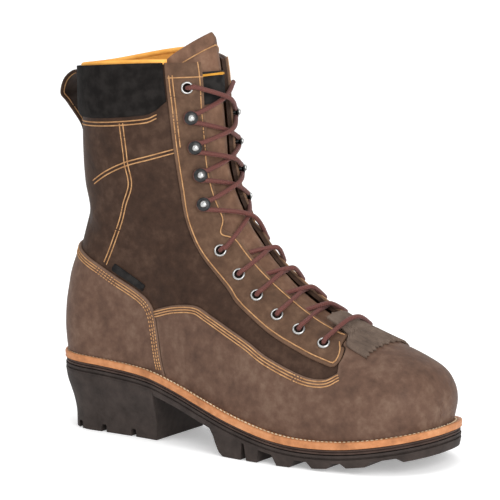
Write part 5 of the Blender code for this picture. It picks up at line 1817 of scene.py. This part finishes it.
class Sole(Assembly):
    """Welt, midsole and lugged outsole at full resolution."""

    def __init__(self, form: BootForm, finishes: Finishes) -> None:
        """Keep the form and the sole's stations.

        Args:
            form: the boot's form.
            finishes: the materials.
        """
        super().__init__(form, finishes)
        tip = RIDGE[0, 0] * S.length
        heel = float(form.back(S.heel_rise + S.welt))
        even = tip - (tip - heel) * (1 - np.cos(np.linspace(0, math.pi, 121))) / 2
        marks = [share * S.length for share in ARCH[1:-1, 0]] + [S.heel_length]
        near = [s for s in even if min(abs(s - m) for m in marks) > 0.001]
        self.stations = np.array(sorted(near + marks, reverse=True))

    def outline(self, offset: float | Callable) -> np.ndarray:
        """Closed plan loop set out from the upper's foot.

        Args:
            offset: distance, or a function of the length's share.

        Returns:
            Points as distance from the heel back and sideways place.
        """
        along = self.stations
        middle = self.form.centre(along)
        seat = self.form.seat(along)
        sides = [middle + side.value * self.form.half_width(along, seat, side) for side in Side]
        loop = np.concatenate([np.column_stack([along, sides[0]]),
                               np.column_stack([along, sides[1]])[-2:0:-1]])
        loop[0, 1], loop[len(along) - 1, 1] = middle[0], middle[-1]
        ahead = np.roll(loop, -1, axis=0) - np.roll(loop, 1, axis=0)
        ahead /= np.linalg.norm(ahead, axis=1)[:, None]
        outward = np.column_stack([-ahead[:, 1], ahead[:, 0]])
        if outward[0, 0] < 0:
            outward = -outward
        share = np.clip(loop[:, 0] / S.length, 0, 1)
        ledge = offset(share) if callable(offset) else offset
        return loop + outward * np.reshape(ledge, (-1, 1))

    @staticmethod
    def ledge(extra: float = 0.0) -> Callable:
        """Width of the welt outside the upper."""
        return lambda share: S.ledge * (0.58 + 0.42 * np.clip((share - 0.15) / 0.35, 0, 1)) + extra

    def tops(self, along: np.ndarray) -> np.ndarray:
        """Height of the outsole's top."""
        return self.form.seat(along) - S.welt - S.midsole - 2 * S.gap

    def under(self, along: np.ndarray) -> np.ndarray:
        """Height of the outsole's underside without the heel.

        Args:
            along: distances from the heel back.

        Returns:
            The heights.
        """
        share = np.asarray(along) / S.length
        arch = smooth(ARCH, 1, share)
        return arch * (self.tops(along) - S.shank) + (1 - arch) * self.form.spring(share)

    @staticmethod
    def ring_mesh(rings: Sequence[np.ndarray], closed: bool) -> tuple[np.ndarray, list]:
        """Faces between rings of the same count.

        Args:
            rings: the rings.
            closed: join last to first, or cap both.

        Returns:
            Vertices and faces.
        """
        count = len(rings[0])
        faces = []
        pairs = list(range(len(rings) - 1)) + ([len(rings) - 1] if closed else [])
        for r in pairs:
            a0, b0 = r * count, ((r + 1) % len(rings)) * count
            for i in range(count):
                j = (i + 1) % count
                faces.append((a0 + i, a0 + j, b0 + j, b0 + i))
        if not closed:
            half = count // 2
            for base, flip in ((0, True), ((len(rings) - 1) * count, False)):
                for i in range(half):
                    near, far = i, (count - i) % count
                    cell = [near, i + 1, (count - i - 1) % count, far]
                    cell = [base + k for k in dict.fromkeys(cell)]
                    faces.append(tuple(cell[::-1] if flip else cell))
        return np.vstack(rings), faces

    def world(self, loop: np.ndarray, up: np.ndarray | float) -> np.ndarray:
        """Plan points and heights in the row frame."""
        return np.column_stack([loop[:, 0] - S.setback, loop[:, 1], np.broadcast_to(up, len(loop))])

    def build_welt(self, thread: Stitches) -> None:
        """Make the welt with its rounded edge, groove and lockstitch.

        Args:
            thread: where the lockstitch goes.
        """
        profile = ((0.0, -S.welt), (-0.0002, -S.welt + 0.0005), (0.0, -S.welt * 0.55), (0.0, -0.0009),
                   (-0.0004, -0.0002), (-0.0012, 0.0), (-0.0022, 0.0))
        rings = []
        for extra, drop in profile:
            loop = self.outline(self.ledge(extra))
            rings.append(self.world(loop, self.form.seat(loop[:, 0]) + drop))
        for share, drop in ((0.62, 0.0), (0.50, -0.0007), (0.30, -0.0007), (0.18, 0.0)):
            loop = self.outline(lambda s, k=share: self.ledge()(s) * k)
            rings.append(self.world(loop, self.form.seat(loop[:, 0]) + drop))
        for drop in (0.0, -S.welt):
            loop = self.outline(-S.welt_inner)
            rings.append(self.world(loop, self.form.seat(loop[:, 0]) + drop))
        verts, faces = self.ring_mesh(rings, True)
        item = new_piece("welt_strip", verts, faces, [self.fin.welt], Slot.WELT, ["welt"])
        turn_outward(item)
        loop = self.outline(lambda s: self.ledge()(s) * 0.42)
        path = self.world(loop, self.form.seat(loop[:, 0]) - 0.0004)
        path = np.vstack([path, path[:1]])
        out = np.tile([0.0, 0.0, 1.0], (len(path), 1))
        thread.row(path, out, size=0.0025, space=0.0008, radius=0.00050)

    def build_midsole(self) -> None:
        """Make the midsole with a groove round its edge."""
        rings = []
        for extra, share in ((-0.0012, 0.0), (0.0, 0.12), (0.0, 0.42), (-0.0010, 0.48), (-0.0010, 0.60),
                             (0.0, 0.66), (0.0, 0.90), (-0.0007, 1.0)):
            loop = self.outline(self.ledge(-S.midsole_inset + extra))
            top = self.form.seat(loop[:, 0]) - S.welt - S.gap
            rings.append(self.world(loop, top - S.midsole * (1 - share)))
        verts, faces = self.ring_mesh(rings, False)
        item = new_piece("midsole_layer", verts, faces, [self.fin.midsole], Slot.MIDSOLE, ["midsole"])
        turn_outward(item)

    def cutter(self, verts: np.ndarray, faces: list) -> bpy.types.Object:
        """Hidden solid for a boolean.

        Args:
            verts: its vertices.
            faces: its faces.

        Returns:
            The object.
        """
        mesh = bpy.data.meshes.new("cutter")
        mesh.from_pydata([tuple(map(float, v)) for v in verts], [], [tuple(map(int, f)) for f in faces])
        item = bpy.data.objects.new("cutter", mesh)
        bpy.context.scene.collection.objects.link(item)
        turn_outward(item)
        return item

    def prism(self, corners: Rows) -> bpy.types.Object:
        """Cutter: a side-view polygon drawn across the boot.

        Args:
            corners: its corners.

        Returns:
            The object.
        """
        flat = np.asarray(corners, float)
        ring = [np.column_stack([flat[:, 0] - S.setback, np.full(len(flat), y), flat[:, 1]])
                for y in (-S.ball, S.ball)]
        count = len(flat)
        faces = [(i, (i + 1) % count, count + (i + 1) % count, count + i) for i in range(count)]
        faces += [tuple(range(count))[::-1], tuple(range(count, 2 * count))]
        return self.cutter(np.vstack(ring), faces)

    def apply(self, item: bpy.types.Object, cutters: Sequence[bpy.types.Object], operation: str) -> None:
        """Apply booleans and remove their cutters.

        Args:
            item: what is cut.
            cutters: the cutters.
            operation: DIFFERENCE or UNION.
        """
        for other in cutters:
            step = item.modifiers.new("step", "BOOLEAN")
            step.operation = operation
            step.object = other
            graph = bpy.context.evaluated_depsgraph_get()
            mesh = bpy.data.meshes.new_from_object(item.evaluated_get(graph))
            item.modifiers.clear()
            old = item.data
            item.data = mesh
            bpy.data.meshes.remove(old)
        for other in cutters:
            bpy.data.objects.remove(other, do_unlink=True)

    def build_outsole(self) -> None:
        """Make the lugged outsole with its heel block."""
        rings = []
        for extra, share in ((-1.5, 0.0), (-0.5, 0.5), (-0.5, 0.62), (-1.6, 0.68), (-1.6, 0.74),
                             (-0.5, 0.80), (-0.5, 1.0)):
            loop = self.outline(self.ledge(S.midsole_inset * extra))
            low, top = self.under(loop[:, 0]), self.tops(loop[:, 0])
            high = low + (top - low) * share if share < 0.5 else top - (1 - share) * 0.0085
            rings.append(self.world(loop, np.maximum(high, low + 0.0002 * share)))
        verts, faces = self.ring_mesh(rings, False)
        item = new_piece("lug_outsole", verts, faces, [self.fin.rubber_sole], Slot.RUBBER, ["outsole"])
        turn_outward(item)
        cuts = []
        for (a, fa, ra), (b, fb, rb) in zip(LUGS[:-1], LUGS[1:]):
            left, right = a * S.length, b * S.length
            spots = [left + fa * S.length, right - fb * S.length, right - rb * S.length, left + ra * S.length]
            roots = [float(self.tops(np.array(s))) - S.sole_body for s in spots[2:]]
            floors = [float(self.under(np.array(s))) for s in spots[:2]]
            cuts.append(self.prism([(spots[0], -S.sole_body), (spots[1], -S.sole_body), (spots[1], floors[1]),
                                    (spots[2], roots[0]), (spots[3], roots[1]), (spots[0], floors[0])]))
        cuts += [self._channel(side) for side in Side]
        heel = self._heel()
        notches = []
        for share in NOTCHES:
            x = share * S.heel_length
            half, deep = S.notch_wide / 2, S.notch_deep
            notches.append(self.prism([(x - half, -deep), (x + half, -deep), (x + half, deep * 0.8),
                                       (x + half * 0.7, deep), (x - half * 0.7, deep),
                                       (x - half, deep * 0.8)]))
        self.apply(heel, notches, "DIFFERENCE")
        self.apply(item, cuts, "DIFFERENCE")
        self.apply(item, [heel], "UNION")
        item.data.materials.clear()
        item.data.materials.append(self.fin.rubber_sole)
        item.data.polygons.foreach_set("material_index", [0] * len(item.data.polygons))
        item.data.shade_smooth()
        item.data.set_sharp_from_angle(angle=math.radians(28))
        soft = item.modifiers.new("edges", "BEVEL")
        soft.width = 0.0005
        soft.segments = 2
        soft.limit_method = "ANGLE"
        soft.angle_limit = math.radians(40)
        soft.harden_normals = True

    def _channel(self, side: Side) -> bpy.types.Object:
        """Cutter for the gap between side lugs and middle lugs.

        Args:
            side: which side.

        Returns:
            The object.
        """
        along = np.linspace(0.545, 0.925, 24) * S.length
        edge = self.form.half_width(along, self.form.seat(along), side) + S.ledge
        top = self.tops(along) - S.sole_body - S.gap
        middle = self.form.centre(along)
        outer = middle + side.value * (edge - S.lug_reach)
        inner = middle + side.value * (edge - S.lug_reach - S.channel)
        rings = []
        for k in range(len(along)):
            rings.append([(along[k] - S.setback, y, z) for y, z in (
                (outer[k], -S.sole_body), (inner[k], -S.sole_body), (inner[k], top[k]), (outer[k], top[k]))])
        faces = [(r * 4 + i, r * 4 + (i + 1) % 4, r * 4 + 4 + (i + 1) % 4, r * 4 + 4 + i)
                 for r in range(len(along) - 1) for i in range(4)]
        faces += [(3, 2, 1, 0), tuple(4 * (len(along) - 1) + i for i in range(4))]
        return self.cutter(np.array(rings).reshape(-1, 3), faces)

    def _heel(self) -> bpy.types.Object:
        """Heel block, drawn in towards the floor.

        Returns:
            The object.
        """
        stations = self.stations[self.stations <= S.heel_length + 1e-9]
        count = len(self.stations)
        full = self.outline(self.ledge())
        first = count - len(stations)
        rings = []
        table = np.array(HEEL)
        for up in np.linspace(0, 1, 15):
            inset = float(smooth(table, 1, np.array(up))) * S.heel_taper
            part = self.outline(self.ledge(-inset))[first:count + len(stations) - 1].copy()
            part[[0, -1], 0] = S.heel_length - S.heel_taper * 0.25 * (1 - up)
            top = self.tops(full[first:count + len(stations) - 1, 0]) - S.shank * 0.6
            rings.append(self.world(part, up * top))
        size = len(rings[0])
        faces = tube_faces(len(rings), size)
        for base in (0, (len(rings) - 1) * size):
            for i in range(size // 2):
                cell = [base + k for k in dict.fromkeys([i, i + 1, size - 2 - i, size - 1 - i])]
                if len(cell) > 2:
                    faces.append(tuple(cell))
        return self.cutter(np.vstack(rings), faces)


class PullLoop(Assembly):
    """Leather strap bowed out behind the collar."""

    def build(self, thread: Stitches) -> None:
        """Make the loop.

        Args:
            thread: where its stitches go.
        """
        strap, out, tall, half = 0.0024, 0.0205, 0.042, 0.011
        top = S.collar - 2 * strap
        foot = top - tall
        back = float(self.form.back(top)) - S.lay - S.cuff - 2 * S.gap
        low = float(np.min(self.form.back(np.linspace(foot, top, 9)))) - S.lay - S.overlay - 6 * S.gap
        rows = [(back, top - out * 0.35), (back - strap * 0.2, top - out * 0.12),
                (back - out * 0.35, top + strap * 0.6), (back - out * 0.82, top - out * 0.25),
                (back - out, top - out * 0.8), (back - out * 0.72, top - tall * 0.55),
                (low - out * 0.22, foot + tall * 0.17), (low - out * 0.06, foot + tall * 0.05),
                (low - 2 * S.gap, foot)]
        path = even_path(curve_through(rows, 12), 0.0012)
        ahead = np.gradient(path, axis=0)
        ahead /= np.linalg.norm(ahead, axis=1)[:, None]
        away = np.column_stack([-ahead[:, 1], ahead[:, 0]])
        if (path + away * strap)[0, 0] > path[0, 0]:
            away = -away
        rings = []
        for spot, way in zip(path, away):
            ring = []
            for y, depth in ((-half, 0.35), (-half, 0.75), (-half + 0.0008, 1.0), (-half * 0.5, 1.04),
                             (0.0, 1.06), (half * 0.5, 1.04), (half - 0.0008, 1.0), (half, 0.75),
                             (half, 0.35), (half - 0.0006, 0.1), (0.0, 0.0), (-half + 0.0006, 0.1)):
                x, z = spot + way * strap * depth
                ring.append((x - S.setback, y, z))
            rings.append(np.array(ring))
        size = len(rings[0])
        verts = np.vstack(rings)
        faces = tube_faces(len(rings), size)
        faces += [tuple(range(size))[::-1], tuple(range(len(verts) - size, len(verts)))]
        item = new_piece("pull_loop_strap", verts, faces, [self.fin.leather], Slot.RAISED, ["pull_loop"])
        turn_outward(item)
        for y in (-half + 0.0022, half - 0.0022):
            line = np.column_stack([path[:, 0] - S.setback + away[:, 0] * strap, np.full(len(path), y),
                                    path[:, 1] + away[:, 1] * strap])
            out_way = np.column_stack([away[:, 0], np.zeros(len(path)), away[:, 1]])
            thread.row(line[6:], out_way[6:])


class Studio:
    """Floor, lights and camera."""

    TURN, TILT, AWAY = 33.0, 8.4, 1.80
    AIM = (0.098, 0.0, 0.138)
    FOCAL_PIXELS, PICTURE_PIXELS, SENSOR = 2530.0, 500.0, 36.0

    def __init__(self) -> None:
        """Nothing to keep."""
        self.scene = bpy.context.scene

    def floor(self) -> None:
        """Lay a plain pale floor that curves up behind."""
        verts, faces = [], []
        rows = [(-1.6, 0.0), (1.6, 0.0), (1.9, 0.03), (2.15, 0.16), (2.3, 0.40), (2.35, 2.4)]
        turn = math.radians(self.TURN)
        ahead = np.array([-math.sin(turn), math.cos(turn)])
        right = np.array([math.cos(turn), math.sin(turn)])
        for depth, up in rows:
            for wide in (-4.0, 4.0):
                spot = ahead * depth + right * wide
                verts.append((spot[0], spot[1], up - 0.0003))
        for i in range(len(rows) - 1):
            faces.append((2 * i, 2 * i + 1, 2 * i + 3, 2 * i + 2))
        mesh = bpy.data.meshes.new("floor")
        mesh.from_pydata(verts, [], faces)
        mesh.shade_smooth()
        item = bpy.data.objects.new("floor", mesh)
        material = bpy.data.materials.new("floor_white")
        material.use_nodes = True
        shader = material.node_tree.nodes["Principled BSDF"]
        shader.inputs["Base Color"].default_value = (0.93, 0.93, 0.93, 1.0)
        shader.inputs["Roughness"].default_value = 0.9
        shader.inputs["Emission Color"].default_value = (1.0, 1.0, 1.0, 1.0)
        shader.inputs["Emission Strength"].default_value = 0.30
        mesh.materials.append(material)
        self.scene.collection.objects.link(item)

    def light(self, name: str, place: tuple, size: float, power: float) -> None:
        """Hang a soft square light aimed at the boot.

        Args:
            name: its name.
            place: where it hangs.
            size: its side.
            power: watts.
        """
        lamp = bpy.data.lights.new(name, "AREA")
        lamp.size = size
        lamp.energy = power
        item = bpy.data.objects.new(name, lamp)
        item.location = place
        aim = Vector((0.09, 0.0, 0.12)) - Vector(place)
        item.rotation_euler = aim.to_track_quat("-Z", "Y").to_euler()
        self.scene.collection.objects.link(item)

    def build(self) -> None:
        """Set floor, lights, world and camera."""
        self.floor()
        self.light("key", (-0.55, -1.35, 1.35), 1.1, 8.0)
        self.light("fill", (1.55, -0.85, 0.75), 1.2, 24.0)
        self.light("top", (0.1, 0.15, 1.7), 1.3, 8.5)
        self.light("low", (0.45, -1.7, 0.18), 0.9, 3.5)
        world = bpy.data.worlds.new("studio")
        world.use_nodes = True
        world.node_tree.nodes["Background"].inputs["Color"].default_value = (1.0, 1.0, 1.0, 1.0)
        world.node_tree.nodes["Background"].inputs["Strength"].default_value = 0.52
        self.scene.world = world
        self.scene.view_settings.view_transform = "Standard"
        self.camera()

    def camera(self) -> None:
        """Place the camera at the photograph's angle."""
        turn, tilt = math.radians(self.TURN), math.radians(self.TILT)
        back = Vector((math.sin(turn) * math.cos(tilt), -math.cos(turn) * math.cos(tilt), math.sin(tilt)))
        lens = bpy.data.cameras.new("camera")
        lens.sensor_width = self.SENSOR
        lens.lens = self.FOCAL_PIXELS / self.PICTURE_PIXELS * self.SENSOR
        lens.shift_x, lens.shift_y = 0.010, 0.003
        item = bpy.data.objects.new("camera", lens)
        item.location = Vector(self.AIM) + back * self.AWAY
        item.rotation_euler = back.to_track_quat("Z", "Y").to_euler()
        self.scene.collection.objects.link(item)
        self.scene.camera = item


def main() -> None:
    """Build the boot's looks in order."""
    logging.basicConfig(level=logging.INFO, format="%(name)s: %(message)s")
    Studio().build()
    finishes = Finishes()
    form = BootForm()
    upper = Upper(form, finishes)
    upper.build()
    upper.build_panels()
    thread = upper.sew()
    tongue = Tongue(form, finishes)
    tongue.build()
    tongue.build_kiltie()
    tongue.sew(thread)
    PullLoop(form, finishes).build(thread)
    thread.build("seam_thread", finishes.thread, Slot.LACE)
    hardware = Hardware(form, finishes)
    hardware.build()
    Lacing(form, hardware, finishes).build()
    sole = Sole(form, finishes)
    lock = Stitches(form)
    sole.build_welt(lock)
    lock.build("welt_thread", finishes.welt_thread, Slot.LACE)
    sole.build_midsole()
    sole.build_outsole()
    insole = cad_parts["insole"]
    insole.data.materials[0] = finishes.lining


if __name__ == "__main__":
    main()
